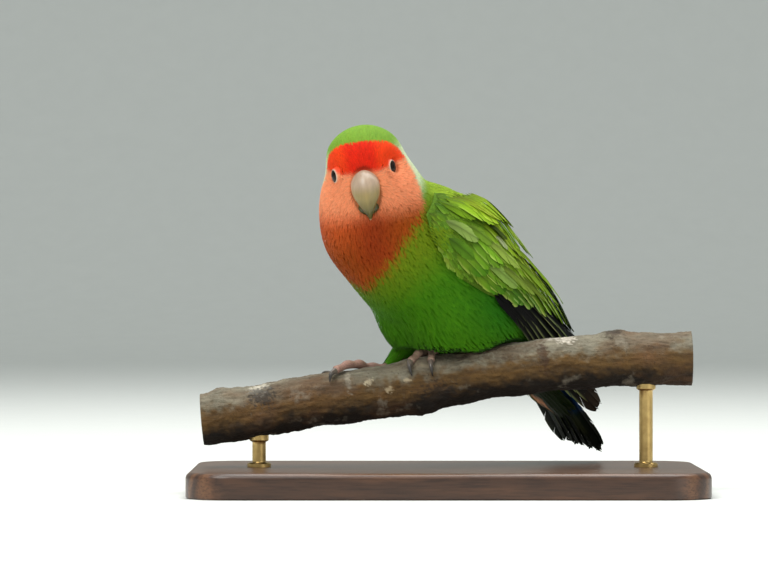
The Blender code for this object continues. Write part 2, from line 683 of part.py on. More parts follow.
def sheet_vane(name, root, tip, heights, size, side):
    # A wing feather laid on the sheet along the straight way from its root to its tip.
    shares = blade_shares(size["steps"], size["blunt"])
    ends = [sheet_point(place[0], place[1], 0.0, side)[0] for place in (root, tip)]
    along, turn = to_polar(ends[0] + np.outer(shares, ends[1] - ends[0]), side)
    turn = turn + size["bow"] * 4.0 * shares * (1.0 - shares)
    centres = sheet_point(along, turn, np.interp(shares, (0.0, 0.3, 1.0), heights), side)
    outs = centres - (TORSO_AT + along[:, None] * ALONG)
    ways = frames_along(centres)
    outs = outs - ways * np.sum(outs * ways, axis=1)[:, None]
    outs = outs / np.linalg.norm(outs, axis=1)[:, None]
    widths = blade_widths(shares, size["half_width"], size["blunt"])
    rolls = (size["roll"] + size["twist"] * shares**2) * side
    return vane(name, centres, np.cross(outs, ways), outs, widths, rolls)


def wing_core(side):
    # The feathered arm: a plate that follows the flank, thick in its middle and thin at its rim.
    rows, columns = 9, 6
    top, bottom = [], []
    for i in range(rows):
        share = i / (rows - 1)
        along = WING_STATIONS[0] + (WING_STATIONS[-1] - WING_STATIONS[0]) * share
        low = np.interp(-along, [-a for a in WING_STATIONS], WING_LOWER)
        high = np.interp(-along, [-a for a in WING_STATIONS], WING_UPPER)
        turns = np.linspace(low, high, columns)
        across = np.linspace(-1.0, 1.0, columns)
        lengthwise = 1.0 - abs(2.0 * share - 0.9) ** 3
        thick = 0.55 + (WING_THICK - 0.55) * np.sqrt(np.clip((1.0 - across**2) * lengthwise, 0.0, 1.0))
        level = np.full(columns, along)
        bottom.append(sheet_point(level, turns, np.full(columns, WING_CLEAR), side))
        top.append(sheet_point(level, turns, WING_CLEAR + thick, side))
    points = np.concatenate([np.concatenate(top), np.concatenate(bottom)])
    size = rows * columns
    faces = []
    for i in range(rows - 1):
        for j in range(columns - 1):
            a = i * columns + j
            b, c, d = a + 1, a + columns + 1, a + columns
            faces += [(a, b, c), (a, c, d), (a + size, c + size, b + size), (a + size, d + size, c + size)]
    rim = [j for j in range(columns)] + [i * columns + columns - 1 for i in range(1, rows)]
    rim += [(rows - 1) * columns + j for j in reversed(range(columns - 1))]
    rim += [i * columns for i in reversed(range(1, rows - 1))]
    for a, b in zip(rim, rim[1:] + rim[:1]):
        faces += [(a, a + size, b + size), (a, b + size, b)]
    return mesh_object("wing", points, faces, "wing")


def make_wing(name, side):
    core = wing_core(side)
    core.name = name
    rng = random.Random(11 if side > 0 else 23)
    feathers = []
    for tier, size in WING_TIERS.items():
        for i in range(size["count"]):
            share = i / (size["count"] - 1)
            root = [a + (b - a) * share for a, b in zip(*size["root"])]
            tip = [a + (b - a) * share for a, b in zip(*size["tip"])]
            tip[0] += rng.uniform(-0.7, 0.7)
            heights = [h + size["rise"] * i for h in size["height"]]
            feathers.append(sheet_vane(f"{tier}_{i}", root, tip, heights, size, side))
    return smooth(fuse(core, feathers))


# Tail

def tail_axes():
    droop = math.radians(TAIL_DROOP)
    way = -ALONG * math.cos(droop) - BACK * math.sin(droop)
    return way, SIDE, np.cross(way, SIDE) * -1.0


def tail_vane(name, root, place, length, half_width, lean, roll, inner, steps=4):
    # A straight tail feather that fans outwards by its place and leans by so many millimetres.
    way, across, over = tail_axes()
    fan = math.radians(place * TAIL_FAN / TAIL_PAIRS)
    line = way * math.cos(fan) + across * math.sin(fan)
    shares = blade_shares(steps, TAIL_BLUNT)
    centres = root + np.outer(shares * length, line) + np.outer(shares**2, over * lean)
    outs = np.repeat(over[None, :], len(shares), axis=0)
    mirror = -1.0 if place < 0 else 1.0
    sides = np.repeat(np.cross(line, over)[None, :], len(shares), axis=0) * -mirror
    widths = blade_widths(shares, half_width, TAIL_BLUNT, 0.7)
    rolls = np.full(len(shares), roll)
    return vane(name, centres, sides, outs, widths, rolls, camber=0.06, kind="tail", inner=inner)


def make_tail():
    way, across, over = tail_axes()
    start = body_ring(0.0, 24)
    middle = start.mean(axis=0)
    rings = [start - ALONG * GAP]
    for share, shrink, flat in ((0.3, 0.92, 0.86), (0.62, 0.74, 0.6), (0.88, 0.55, 0.36), (1.0, 0.4, 0.2)):
        centre = middle + way * TAIL_STUMP * share
        local = start - middle
        wide, high = np.outer(local @ across, across), np.outer(local @ over, over)
        rings.append(centre + wide * shrink + high * flat)
    tail = loft("tail", rings, "tail")
    rng = random.Random(5)
    pieces = []
    for pair in range(TAIL_PAIRS):
        for mirror in (-1, 1):
            place = (pair + (0.35 if pair == 0 else 0.0)) * mirror
            length = TAIL_LENGTH - TAIL_STEP * pair + rng.uniform(-0.5, 0.5)
            drop = TAIL_DROP * (pair + (0.0 if pair or mirror > 0 else -1.0))
            root = middle + way * 3.0 + across * place * TAIL_SPREAD + over * (1.6 - drop)
            inner = 1.0 if pair == 0 else min(1.0, (abs(place) * TAIL_SPREAD - 0.2) / TAIL_HALF_WIDTH)
            pieces.append(tail_vane(f"rectrix_{pair}_{mirror}", root, place, length, TAIL_HALF_WIDTH,
                                    -0.8, -3.0 if pair else 0.0, inner))
    for count, length, lift, spread in TAIL_COVERTS.values():
        for i in range(count):
            share = 2.0 * i / (count - 1) - 1.0
            root = middle + way * 3.0 + across * share * spread + over * lift * (1.3 - 0.2 * share)
            pieces.append(tail_vane(f"covert_{lift}_{i}", root, share * 2.0, length - abs(share) * 3.0, 4.0,
                                    -lift * 0.5, 0.0, 1.0, steps=3))
    return smooth(fuse(tail, pieces))


# Legs and claws

def along_places(places, count):
    # Evenly spaced places on the bark through the given ones, each (X, degrees round).
    places = np.array(places, float)
    steps = np.diff(places * (1.0, math.radians(BRANCH_RADIUS + 1.5)), axis=0)
    lengths = np.concatenate(([0.0], np.cumsum(np.hypot(steps[:, 0], steps[:, 1]))))
    even = np.linspace(0.0, lengths[-1], count)
    return [(np.interp(e, lengths, places[:, 0]), np.interp(e, lengths, places[:, 1])) for e in even]


def make_leg(side_name):
    foot = FOOT_PLACES[side_name]
    ankle = on_branch(*foot, TARSUS_RADIUS + GAP + 0.2)
    hip = torso_point(*HIP_PLACES[side_name])
    path = [ankle + (hip - ankle) * share for share in (0.0, 0.25, 0.5, 0.75, 1.0)]
    leg = tube("leg_" + side_name, path, (1.9, 1.9, 2.2, 2.8, 3.2), 10, "foot")
    pieces = [ellipsoid("sole", ankle, np.eye(3), (2.3, 2.1, 2.1), 10, 8, "foot")]
    for name, places in TOES[side_name].items():
        thick, thin = TOE_RADII[name]
        shares = np.linspace(0.0, 1.0, 9)
        radii = (thick + (thin - thick) * shares) * (1.0 + 0.07 * np.cos(shares * math.pi * 6.0))
        line = [on_branch(*place, radius + GAP + 0.15)
                for place, radius in zip(along_places((foot,) + places[:-1], len(shares)), radii)]
        pieces.append(tube(name, line, radii, 7, "foot"))
    fuse(leg, pieces)
    shell = loft("shell", torso_rings(GAP), "green")
    return smooth(cut(leg, [shell]))


def make_claws(side_name):
    for name, places in TOES[side_name].items():
        thin = TOE_RADII[name][1]
        before, root, tip = ((FOOT_PLACES[side_name],) + places)[-3:]
        toe_way = on_branch(*root, thin) - on_branch(*before, thin)
        toe_way = toe_way / np.linalg.norm(toe_way)
        first = on_branch(*root, thin + GAP + 0.15) + toe_way * (thin * 0.6 + GAP + 0.08)
        last = on_branch(*tip, 0.65)
        away = on_branch(*root, 1.0) - on_branch(*root, 0.0)
        line, radii = [], []
        for i in range(6):
            share = i / 5.0
            bow = math.sin(math.pi * share)
            line.append(first + (last - first) * share + (toe_way * 0.7 + away * 0.7) * bow)
            radii.append(thin * 0.74 * (1.0 - share) + 0.22)
        smooth(tube(f"claw_{side_name}_{name}", line, radii, 7, "claw"))


# Perch and stand

def knot_bump(x, turn):
    bump = 0.0
    for knot_x, knot_turn, radius, height in BRANCH_KNOTS:
        away = (turn - knot_turn + 180.0) % 360.0 - 180.0
        far = math.hypot(x - knot_x, math.radians(away) * BRANCH_RADIUS) / radius
        bump += height * math.exp(-far * far * 1.6)
    return bump


def bark_share(x):
    # 1 away from the bird and 0 under it, so that toes and belly lie on plain bark.
    return min(1.0, max(0.0, (abs(x + 2.0) - 44.0) / 8.0))


def make_perch():
    segments, steps = 18, 26
    rings = []
    for i in range(steps + 1):
        x = -BRANCH_HALF_LENGTH + 2.0 * BRANCH_HALF_LENGTH * i / steps
        ring = []
        for j in range(segments):
            turn = 360.0 * j / segments
            wave = 0.22 * math.sin(x * 0.31 + 2.0 * math.radians(turn))
            wave += 0.16 * math.sin(x * 0.13 - math.radians(turn))
            under = abs((turn + 180.0) % 360.0 - 180.0) > 130.0
            share = 1.0 if under else bark_share(x)
            ring.append(on_branch(x, turn, (wave + knot_bump(x, turn)) * share - 0.02))
        rings.append(ring)
    perch = loft("perch", rings, "bark")
    sockets = [rod("socket", x, GAP) for x in ROD_PLACES]
    return smooth(cut(perch, sockets))


def rod(name, x, grow=0.0, segments=16):
    bottom = BASE_THICK - ROD_SOCKET - grow
    top = float(branch_height(x)) - BRANCH_RADIUS + ROD_SOCKET + grow
    bpy.ops.mesh.primitive_cylinder_add(
        vertices=segments, radius=(ROD_RADIUS + grow) * MM, depth=(top - bottom) * MM,
        location=(x * MM, 0.0, (top + bottom) / 2.0 * MM))
    return adopt(name, "rod")


def make_stand():
    outline = bmesh.new()
    corners = []
    for sx, sy, start in ((1, 1, 0), (-1, 1, 90), (-1, -1, 180), (1, -1, 270)):
        for k in range(6):
            turn = math.radians(start + 18.0 * k)
            corners.append(((sx * (BASE_LENGTH / 2.0 - BASE_CORNER) + BASE_CORNER * math.cos(turn)),
                            (sy * (BASE_DEPTH / 2.0 - BASE_CORNER) + BASE_CORNER * math.sin(turn))))
    face = outline.faces.new([outline.verts.new((x * MM, y * MM, 0.0)) for x, y in corners])
    pulled = bmesh.ops.extrude_face_region(outline, geom=[face])
    lifted = [v for v in pulled["geom"] if isinstance(v, bmesh.types.BMVert)]
    bmesh.ops.translate(outline, verts=lifted, vec=(0.0, 0.0, BASE_THICK * MM))
    bmesh.ops.recalc_face_normals(outline, faces=outline.faces)
    rim = [e for e in outline.edges if all(v in lifted for v in e.verts)]
    bmesh.ops.bevel(outline, geom=rim, offset=2.2 * MM, segments=2, affect="EDGES", profile=0.5)
    mesh = bpy.data.meshes.new("stand_base")
    outline.to_mesh(mesh)
    outline.free()
    base = bpy.data.objects.new("stand_base", mesh)
    mesh.materials.append(material("base"))
    collection().objects.link(base)
    smooth(cut(base, [rod("socket", x, GAP) for x in ROD_PLACES]))
    for name, x in zip(("stand_rod_left", "stand_rod_right"), ROD_PLACES):
        smooth(rod(name, x))


def main():
    for old in list(bpy.data.objects):
        bpy.data.objects.remove(old)
    make_torso()
    make_neck()
    make_head()
    make_bill()
    make_eyes()
    make_wing("wing_left", 1)
    make_wing("wing_right", -1)
    make_tail()
    for side_name in FOOT_PLACES:
        make_leg(side_name)
        make_claws(side_name)
    make_perch()
    make_stand()


main()
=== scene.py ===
import math
import random

import bmesh
import bpy
import numpy as np
from mathutils import Matrix, Vector, noise


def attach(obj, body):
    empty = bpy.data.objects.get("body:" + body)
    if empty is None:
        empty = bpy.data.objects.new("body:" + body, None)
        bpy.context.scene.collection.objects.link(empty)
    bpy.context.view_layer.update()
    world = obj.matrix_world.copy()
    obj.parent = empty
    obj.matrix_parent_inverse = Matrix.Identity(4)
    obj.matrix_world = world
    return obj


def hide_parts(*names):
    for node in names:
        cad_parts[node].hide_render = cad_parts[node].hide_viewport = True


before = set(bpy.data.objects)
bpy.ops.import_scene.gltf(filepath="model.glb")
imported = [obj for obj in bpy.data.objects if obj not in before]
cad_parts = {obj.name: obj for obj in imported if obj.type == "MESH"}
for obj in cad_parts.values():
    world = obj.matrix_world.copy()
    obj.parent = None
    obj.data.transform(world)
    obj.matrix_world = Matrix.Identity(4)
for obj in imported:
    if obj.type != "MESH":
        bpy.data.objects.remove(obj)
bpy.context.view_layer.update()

mm = 0.001  # every size below is in millimetres
print("frame loaded")

# The bird stands on the branch with its body turned to the left front and its face to the camera.
body = {
    "middle": (-2.5, 4.0, 78.2), "yaw": 36.0, "pitch": 43.0,
    "head": (-29.0, -17.0, 113.0), "headPitch": 12.0, "headRoll": 9.5,
    "blend": 5.0,  # how softly the forms run together
    "torso": (  # towards the head, left, back, then the half sizes
        (-6.5, 0, -0.3, 45.3, 22.3, 22.8), (13.7, 0, -6.6, 25.3, 21.7, 20.5),
        (29.6, -2.5, -11.4, 16.5, 15.3, 14.3), (-12.9, 0, -6.9, 27.1, 19.6, 19.6),
        (5.6, 0, 8.2, 22.9, 17.6, 16.3), (-30.9, 0, 7.5, 27.9, 14.6, 14.6),
        (-12.9, 10.5, -12.9, 14.1, 8, 8.8), (-12.9, -10.5, -12.9, 14.1, 8, 8.8),
        (-15, 8, -17, 9, 6.5, 9), (-7.7, -8.2, -22.1, 11.7, 6.1, 6.5),
        (37.3, 0, -1.4, 15.6, 17.2, 16.9)),
    "skull": (  # ahead, left, up, then the half sizes
        (-1.7, 0, 4.8, 14, 13, 10.9), (5.8, 0, -2.7, 9.8, 9.3, 9.5),
        (1.3, 6.1, -9.8, 10.8, 8.2, 9.4), (1.3, -6.1, -9.8, 10.8, 8.2, 9.4),
        (2.5, 0, -14.2, 11, 13.3, 9.9), (-6.3, 0, -8.3, 9.9, 11.7, 11.9)),
    "spine": ((-48, 7), (-36, 4.5), (-12, 0), (10, 0), (25, 1)),  # along, back
    "neckTurns": (0.3, 0.65), "headBase": 9.0,
    "branchClear": 1.1, "footHollow": (3.8, 10.5), "feetAt": (-19.0, -1.0),
    "hindHollow": 8.0, "hindAt": (9.5, -8.0),
}
eye = {"at": (8.5, 7.9, 1.0), "look": (0.42, 0.90, 0.08), "radius": 3.4,
       "dent": 1.3, "dentWidth": 4.6, "ring": (2.1, 2.4), "over": 0.12}
branch = {
    "half": 86.0, "radius": 9.3,
    "line": ((-86, 25.4), (-72, 27.8), (-52, 31.4), (-23, 35.2), (-6, 38.2),
             (12, 41.6), (26, 43.7), (40, 45.3), (68, 46.9), (86, 47.2)),
    "knots": (  # x, degrees from the top towards the camera, radius, height
        (-79, -8, 3.4, 1.2), (-64, 118, 4.4, 2.2), (-9, 172, 4.6, 1.7),
        (59, 2, 5.6, 2.2), (30, 60, 3.0, 0.9), (72, -70, 4.2, 1.6)),
}


def unit(v):
    return v / np.maximum(np.linalg.norm(v, axis=-1, keepdims=True), 1e-9)


def dot(a, b):
    return np.sum(a * b, axis=-1)


def ramp(x, low, high):
    t = np.clip((x - low) / (high - low), 0.0, 1.0)
    return t * t * (3.0 - 2.0 * t)


# Axes of the torso and the head
yaw, pitch = math.radians(body["yaw"]), math.radians(body["pitch"])
along = np.array((-math.cos(yaw) * math.cos(pitch), -math.sin(yaw) * math.cos(pitch), math.sin(pitch)))
side = np.array((math.sin(yaw), -math.cos(yaw), 0.0))
back = np.cross(along, side)
tip, roll = math.radians(body["headPitch"]), math.radians(body["headRoll"])
ahead = np.array((0.0, -math.cos(tip), -math.sin(tip)))
level = np.array((1.0, 0.0, 0.0))
headLeft = level * math.cos(roll) + np.cross(ahead, level) * math.sin(roll)
headUp = np.cross(ahead, headLeft)
torsoAt, headAt = np.array(body["middle"]), np.array(body["head"])
torsoAxes, headAxes = np.array((along, side, back)), np.array((ahead, headLeft, headUp))


def torsoPoint(a, l, b):
    return torsoAt + along * a + side * l + back * b


def headPoint(f, l, u):
    return headAt + ahead * f + headLeft * l + headUp * u


def inTorso(points):
    return (points - torsoAt) @ torsoAxes.T


def inHead(points):
    return (points - headAt) @ headAxes.T


def branchHeight(x):
    return np.interp(x, *zip(*branch["line"]))


def branchSlope(x):
    return (branchHeight(x + 4.0) - branchHeight(x - 4.0)) / 8.0


def onBranch(x, turn, clear):
    turn, slope = np.radians(turn), np.arctan(branchSlope(x))
    reach = branch["radius"] + clear
    return np.stack(np.broadcast_arrays(
        x - reach * np.cos(turn) * np.sin(slope), -reach * np.sin(turn),
        branchHeight(x) + reach * np.cos(turn) * np.cos(slope)), axis=-1)


def offBranch(points):
    slope = branchSlope(points[..., 0])
    rise = (points[..., 2] - branchHeight(points[..., 0])) / np.sqrt(1.0 + slope * slope)
    return np.hypot(points[..., 1], rise) - branch["radius"]


def eyeAxes(s):
    look = unit(np.array(eye["look"]) * (1.0, s, 1.0)) @ headAxes
    first = unit(np.cross(look, headUp))
    return np.array((first, np.cross(look, first), look))


def eyeAt(s):
    f, l, u = eye["at"]
    return headPoint(f, l * s, u)


forms = [(torsoPoint(*f[:3]), torsoAxes, np.array(f[3:], float)) for f in body["torso"]]
forms += [(headPoint(*f[:3]), headAxes, np.array(f[3:], float)) for f in body["skull"]]


def offBody(points):
    # roughly how far points lie outside the outline of the plumage
    total = 0.0
    for centre, axes, half in forms:
        local = (points - centre) @ axes.T
        near = np.linalg.norm(local / half, axis=-1)
        steep = np.linalg.norm(local / half**2, axis=-1) + 1e-9
        total = total + np.exp(np.clip(-near * (near - 1.0) / steep / body["blend"] * 2.0, -60, 60))
    skin = -np.log(total) * body["blend"] / 2.0
    for s in (1, -1):
        away = np.sum((points - eyeAt(s) - eyeAxes(s)[2] * eye["radius"]) ** 2, axis=-1)
        skin = skin + eye["dent"] * np.exp(-away / eye["dentWidth"] ** 2)
    clear = np.full(points.shape[:-1], body["branchClear"])
    deep, wide = body["footHollow"]
    for x in body["feetAt"]:
        clear = np.maximum(clear, body["branchClear"] + deep * np.exp(-((points[..., 0] - x) / wide) ** 4))
    behind = np.clip((points[..., 1] - 1.0) / 4.0, 0.0, 1.0)
    for x in body["hindAt"]:
        bump = np.exp(-((points[..., 0] - x) / body["hindHollow"]) ** 4)
        clear = np.maximum(clear, body["branchClear"] + deep * bump * behind)
    return np.maximum(skin, clear - offBranch(points))


def bodyNormal(points, step=0.3):
    base = offBody(points)
    slope = np.stack([offBody(points + np.eye(3)[k] * step) - base for k in range(3)], axis=-1)
    return unit(slope)


def ontoBody(points, height, rounds=3):
    # moves points along the skin's slope until they lie this high over the outline
    for _ in range(rounds):
        points = points - bodyNormal(points) * (offBody(points) - height)[..., None]
    return points


def spineKnots():
    torso = Matrix(np.array((-back, side, along)).T.tolist()).to_quaternion()
    head = Matrix(headAxes.T.tolist()).to_quaternion()
    places = [torsoPoint(a, 0.0, b) for a, b in body["spine"]]
    headBase = headAt - headUp * body["headBase"]
    places += [(places[-1] + headBase) / 2.0, headBase, headAt]
    turns = [0.0] * (len(body["spine"]) - 1) + [body["neckTurns"][0], body["neckTurns"][1], 1.0, 1.0]
    return places, [torso.slerp(head, t) for t in turns]


spinePlaces, spineTurns = spineKnots()
lastStation = len(spinePlaces) - 1


def through(a, b, c, d, t):
    # a smooth curve from b to c that comes from a and heads for d
    return 0.5 * (2 * b + (c - a) * t + (2 * a - 5 * b + 4 * c - d) * t**2 + (3 * b - a - 3 * c + d) * t**3)


def spineAt(station):
    low = min(int(station), lastStation - 1)
    t = station - low
    a, b, c, d = (spinePlaces[i] for i in (max(low - 1, 0), low, low + 1, min(low + 2, lastStation)))
    return through(a, b, c, d, t), np.array(spineTurns[low].slerp(spineTurns[low + 1], t).to_matrix()).T


def reachToSkin(origins, ways, clear=0.0, longest=48.0, step=1.2):
    distances = np.arange(1.0, longest, step)
    outside = offBody(origins[:, None, :] + ways[:, None, :] * distances[None, :, None]) > clear
    first = np.where(outside.any(axis=1), outside.argmax(axis=1), len(distances) - 1)
    high = distances[first]
    low = np.maximum(high - step, 0.0)
    for _ in range(12):
        middle = (low + high) / 2.0
        out = offBody(origins + ways * middle[:, None]) > clear
        high, low = np.where(out, middle, high), np.where(out, low, middle)
    return (low + high) / 2.0


# Meshes and materials

made = bpy.data.collections.new("lovebird")
bpy.context.scene.collection.children.link(made)


def addMesh(name, points, faces, mat, parts=made):
    mesh = bpy.data.meshes.new(name)
    points = np.asarray(points, float) * mm
    faces = np.asarray(faces)
    mesh.vertices.add(len(points))
    mesh.vertices.foreach_set("co", points.astype(np.float32).ravel())
    size = faces.shape[1]
    mesh.loops.add(faces.size)
    mesh.loops.foreach_set("vertex_index", faces.astype(np.int32).ravel())
    mesh.polygons.add(len(faces))
    mesh.polygons.foreach_set("loop_start", np.arange(0, faces.size, size, dtype=np.int32))
    mesh.polygons.foreach_set("use_smooth", np.full(len(faces), True))
    mesh.update(calc_edges=True)
    mesh.validate()
    obj = bpy.data.objects.new(name, mesh)
    parts.objects.link(obj)
    mesh.materials.append(mat)
    return obj


def addMap(obj, name, uv):
    # uv is one place for each vertex
    loops = np.zeros(len(obj.data.loops), np.int32)
    obj.data.loops.foreach_get("vertex_index", loops)
    layer = obj.data.uv_layers.new(name=name)
    layer.data.foreach_set("uv", np.asarray(uv, np.float32)[loops].ravel())


def addTint(obj, colour):
    layer = obj.data.color_attributes.new(name="tint", type="FLOAT_COLOR", domain="POINT")
    rgba = np.ones((len(colour), 4), np.float32)
    rgba[:, :colour.shape[1]] = colour
    layer.data.foreach_set("color", rgba.ravel())


def gridFaces(rows, columns, closed=True):
    i, j = np.meshgrid(np.arange(rows - 1), np.arange(columns if closed else columns - 1), indexing="ij")
    k = (j + 1) % columns
    return np.stack((i * columns + j, i * columns + k, (i + 1) * columns + k, (i + 1) * columns + j),
                    axis=-1).reshape(-1, 4)


def gridMap(rows, columns):
    # even places on the map OFBake for a grid's points, row by row
    i, j = np.meshgrid(np.arange(rows) / rows, np.arange(columns) / columns, indexing="ij")
    return np.stack((j, i), axis=-1).reshape(-1, 2)


class Nodes:
    # a short way to write a material's nodes
    def __init__(self, name):
        self.mat = bpy.data.materials.new(name)
        self.mat.use_nodes = True
        self.tree = self.mat.node_tree
        self.shader = self.tree.nodes["Principled BSDF"]

    def add(self, kind, inputs=None, **fields):
        node = self.tree.nodes.new(kind)
        for key, value in fields.items():
            setattr(node, key, value)
        for key, value in (inputs or {}).items():
            self.put(node.inputs[key], value)
        return node

    def put(self, socket, value):
        if isinstance(value, bpy.types.NodeSocket):
            self.tree.links.new(value, socket)
        else:
            socket.default_value = value

    def set(self, **values):
        for key, value in values.items():
            self.put(self.shader.inputs[key.replace("_", " ")], value)

    def tint(self):
        # the colours that addTint gives a mesh
        return self.add("ShaderNodeVertexColor", layer_name="tint").outputs[0]

    def math(self, kind, *values):
        node = self.add("ShaderNodeMath", operation=kind)
        for socket, value in zip(node.inputs, values):
            self.put(socket, value)
        return node.outputs[0]

    def mix(self, share, a, b, kind="MIX"):
        node = self.add("ShaderNodeMix", data_type="RGBA", blend_type=kind)
        for socket, value in zip((node.inputs[0], node.inputs[6], node.inputs[7]), (share, a, b)):
            self.put(socket, (*value, 1.0) if isinstance(value, (tuple, np.ndarray)) else value)
        return node.outputs[2]

    def noise(self, scale, detail=3.0, rough=0.55, stretch=(1.0, 1.0, 1.0)):
        # scale is in waves to the millimetre
        node = self.add("ShaderNodeTexNoise", {"Scale": 1.0, "Detail": detail, "Roughness": rough})
        where = self.add("ShaderNodeTexCoord").outputs["Object"]
        size = tuple(scale * 1000.0 * s for s in stretch)
        scaled = self.add("ShaderNodeMapping", {"Vector": where, "Scale": size})
        self.put(node.inputs["Vector"], scaled.outputs[0])
        return node.outputs["Fac"]

    def ramp(self, value, stops):
        node = self.add("ShaderNodeValToRGB", {"Fac": value})
        items = node.color_ramp.elements
        while len(items) < len(stops):
            items.new(0.5)
        for item, (place, colour) in zip(items, stops):
            item.position = place
            item.color = (*colour, 1.0)
        return node.outputs[0]

    def bump(self, height, strength, distance, under=None):
        node = self.add("ShaderNodeBump", {"Height": height, "Strength": strength, "Distance": distance * mm})
        if under is not None:
            self.put(node.inputs["Normal"], under)
        return node.outputs[0]


# Camera, light and floor

view = {"place": (-0.0221, -1.5, 0.0719), "lens": 200.0, "sensor": 36.0, "near": 0.05, "far": 20.0}
light = {  # place, size, power, colour
    "key": ((-0.65, -0.85, 1.4), 0.9, 17.5, (1.0, 0.99, 0.95)),
    "top": ((0.15, 0.25, 1.4), 1.2, 19.5, (1.0, 1.0, 0.98)),
    "fill": ((1.2, -1.3, 0.5), 1.0, 3.5, (0.98, 1.0, 0.97)),
}
room = {"sky": (0.90, 0.95, 0.93, 1.0), "skyPower": 0.50, "half": 8000.0, "front": -7000.0,
        "sweepAt": 2600.0, "sweep": 900.0, "steps": 12, "top": 6500.0}


def makeStage():
    camera = bpy.data.objects.new("camera", bpy.data.cameras.new("camera"))
    bpy.context.scene.collection.objects.link(camera)
    camera.location = view["place"]
    camera.rotation_euler = (math.pi / 2.0, 0.0, 0.0)
    camera.data.lens = view["lens"]
    camera.data.sensor_width = view["sensor"]
    camera.data.clip_start, camera.data.clip_end = view["near"], view["far"]
    bpy.context.scene.camera = camera
    for name, (place, size, power, colour) in light.items():
        lamp = bpy.data.lights.new(name, "AREA")
        lamp.size = size
        lamp.energy = power
        lamp.color = colour
        obj = bpy.data.objects.new(name, lamp)
        obj.location = place
        obj.rotation_euler = (Vector((0.0, 0.0, 0.08)) - Vector(place)).to_track_quat("-Z", "Y").to_euler()
        bpy.context.scene.collection.objects.link(obj)
    world = bpy.data.worlds.new("studio")
    world.use_nodes = True
    world.node_tree.nodes["Background"].inputs[0].default_value = room["sky"]
    world.node_tree.nodes["Background"].inputs[1].default_value = room["skyPower"]
    bpy.context.scene.world = world
    bpy.context.scene.view_settings.view_transform = "Standard"
    m = Nodes("studioFloor")
    grain = m.noise(0.05, 4.0)
    m.set(Base_Color=m.mix(grain, (0.72, 0.74, 0.72), (0.76, 0.78, 0.76)), Roughness=0.85)
    rows, sweep = [(room["front"], 0.0)], room["sweep"]
    for k in range(room["steps"] + 1):  # the floor curves up to a backdrop
        turn = math.radians(90.0 * k / room["steps"])
        rows.append((room["sweepAt"] + sweep * math.sin(turn), sweep - sweep * math.cos(turn)))
    rows.append((room["sweepAt"] + sweep, room["top"]))
    points = [(x, y, z) for y, z in rows for x in (-room["half"], room["half"])]
    floor = addMesh("floor", points, gridFaces(len(rows), 2, False)[:, ::-1], m.mat,
                    parts=bpy.context.scene.collection)


makeStage()
print("camera, light and floor")


# Markings, shared by the skin and the coat

def paint(r, g, b):
    # a colour as a painter reads it off a chart, 0 to 255, turned into light
    c = np.array((r, g, b), float) / 255.0
    return np.where(c <= 0.04045, c / 12.92, ((c + 0.055) / 1.055) ** 2.4)


plumage = {
    "crown": paint(116, 158, 44), "nape": paint(206, 220, 178), "paleRim": paint(228, 210, 172),
    "throatShade": paint(150, 44, 4), "red": paint(222, 34, 0), "redSide": paint(244, 66, 10),
    "cheek": paint(248, 150, 104), "throat": paint(214, 92, 34), "breast": paint(170, 76, 6),
    "breastGreen": paint(112, 136, 6), "belly": paint(72, 138, 4), "flank": paint(40, 118, 4),
    "mantle": paint(142, 174, 30), "rump": paint(38, 120, 205), "vent": paint(70, 134, 10),
    "browShade": paint(120, 34, 10), "gape": paint(120, 84, 40),
    "eyeRing": paint(232, 222, 206), "cream": paint(246, 214, 178),
    # how far forward of the head's middle the face reaches back, from the crown down to the throat
    "faceEdge": ((-26, -17), (-19, -7), (-14, -5.5), (-8, -3.6), (-2, -0.6), (3, 1.2), (7, 3.2), (10, 5.8),
                 (11.2, 8.6), (13, 14)),
    # how far along the torso the orange reaches, from the belly round to the back
    "breastEdge": ((0, 17), (8, 19), (48, 25.5), (92, 27.5), (120, 36), (180, 60)),
}


def smoothMix(a, b, share):
    return a + (b - a) * share[..., None]


def turnOf(local):
    return np.degrees(np.arctan2(np.abs(local[:, 1]), -local[:, 2]))


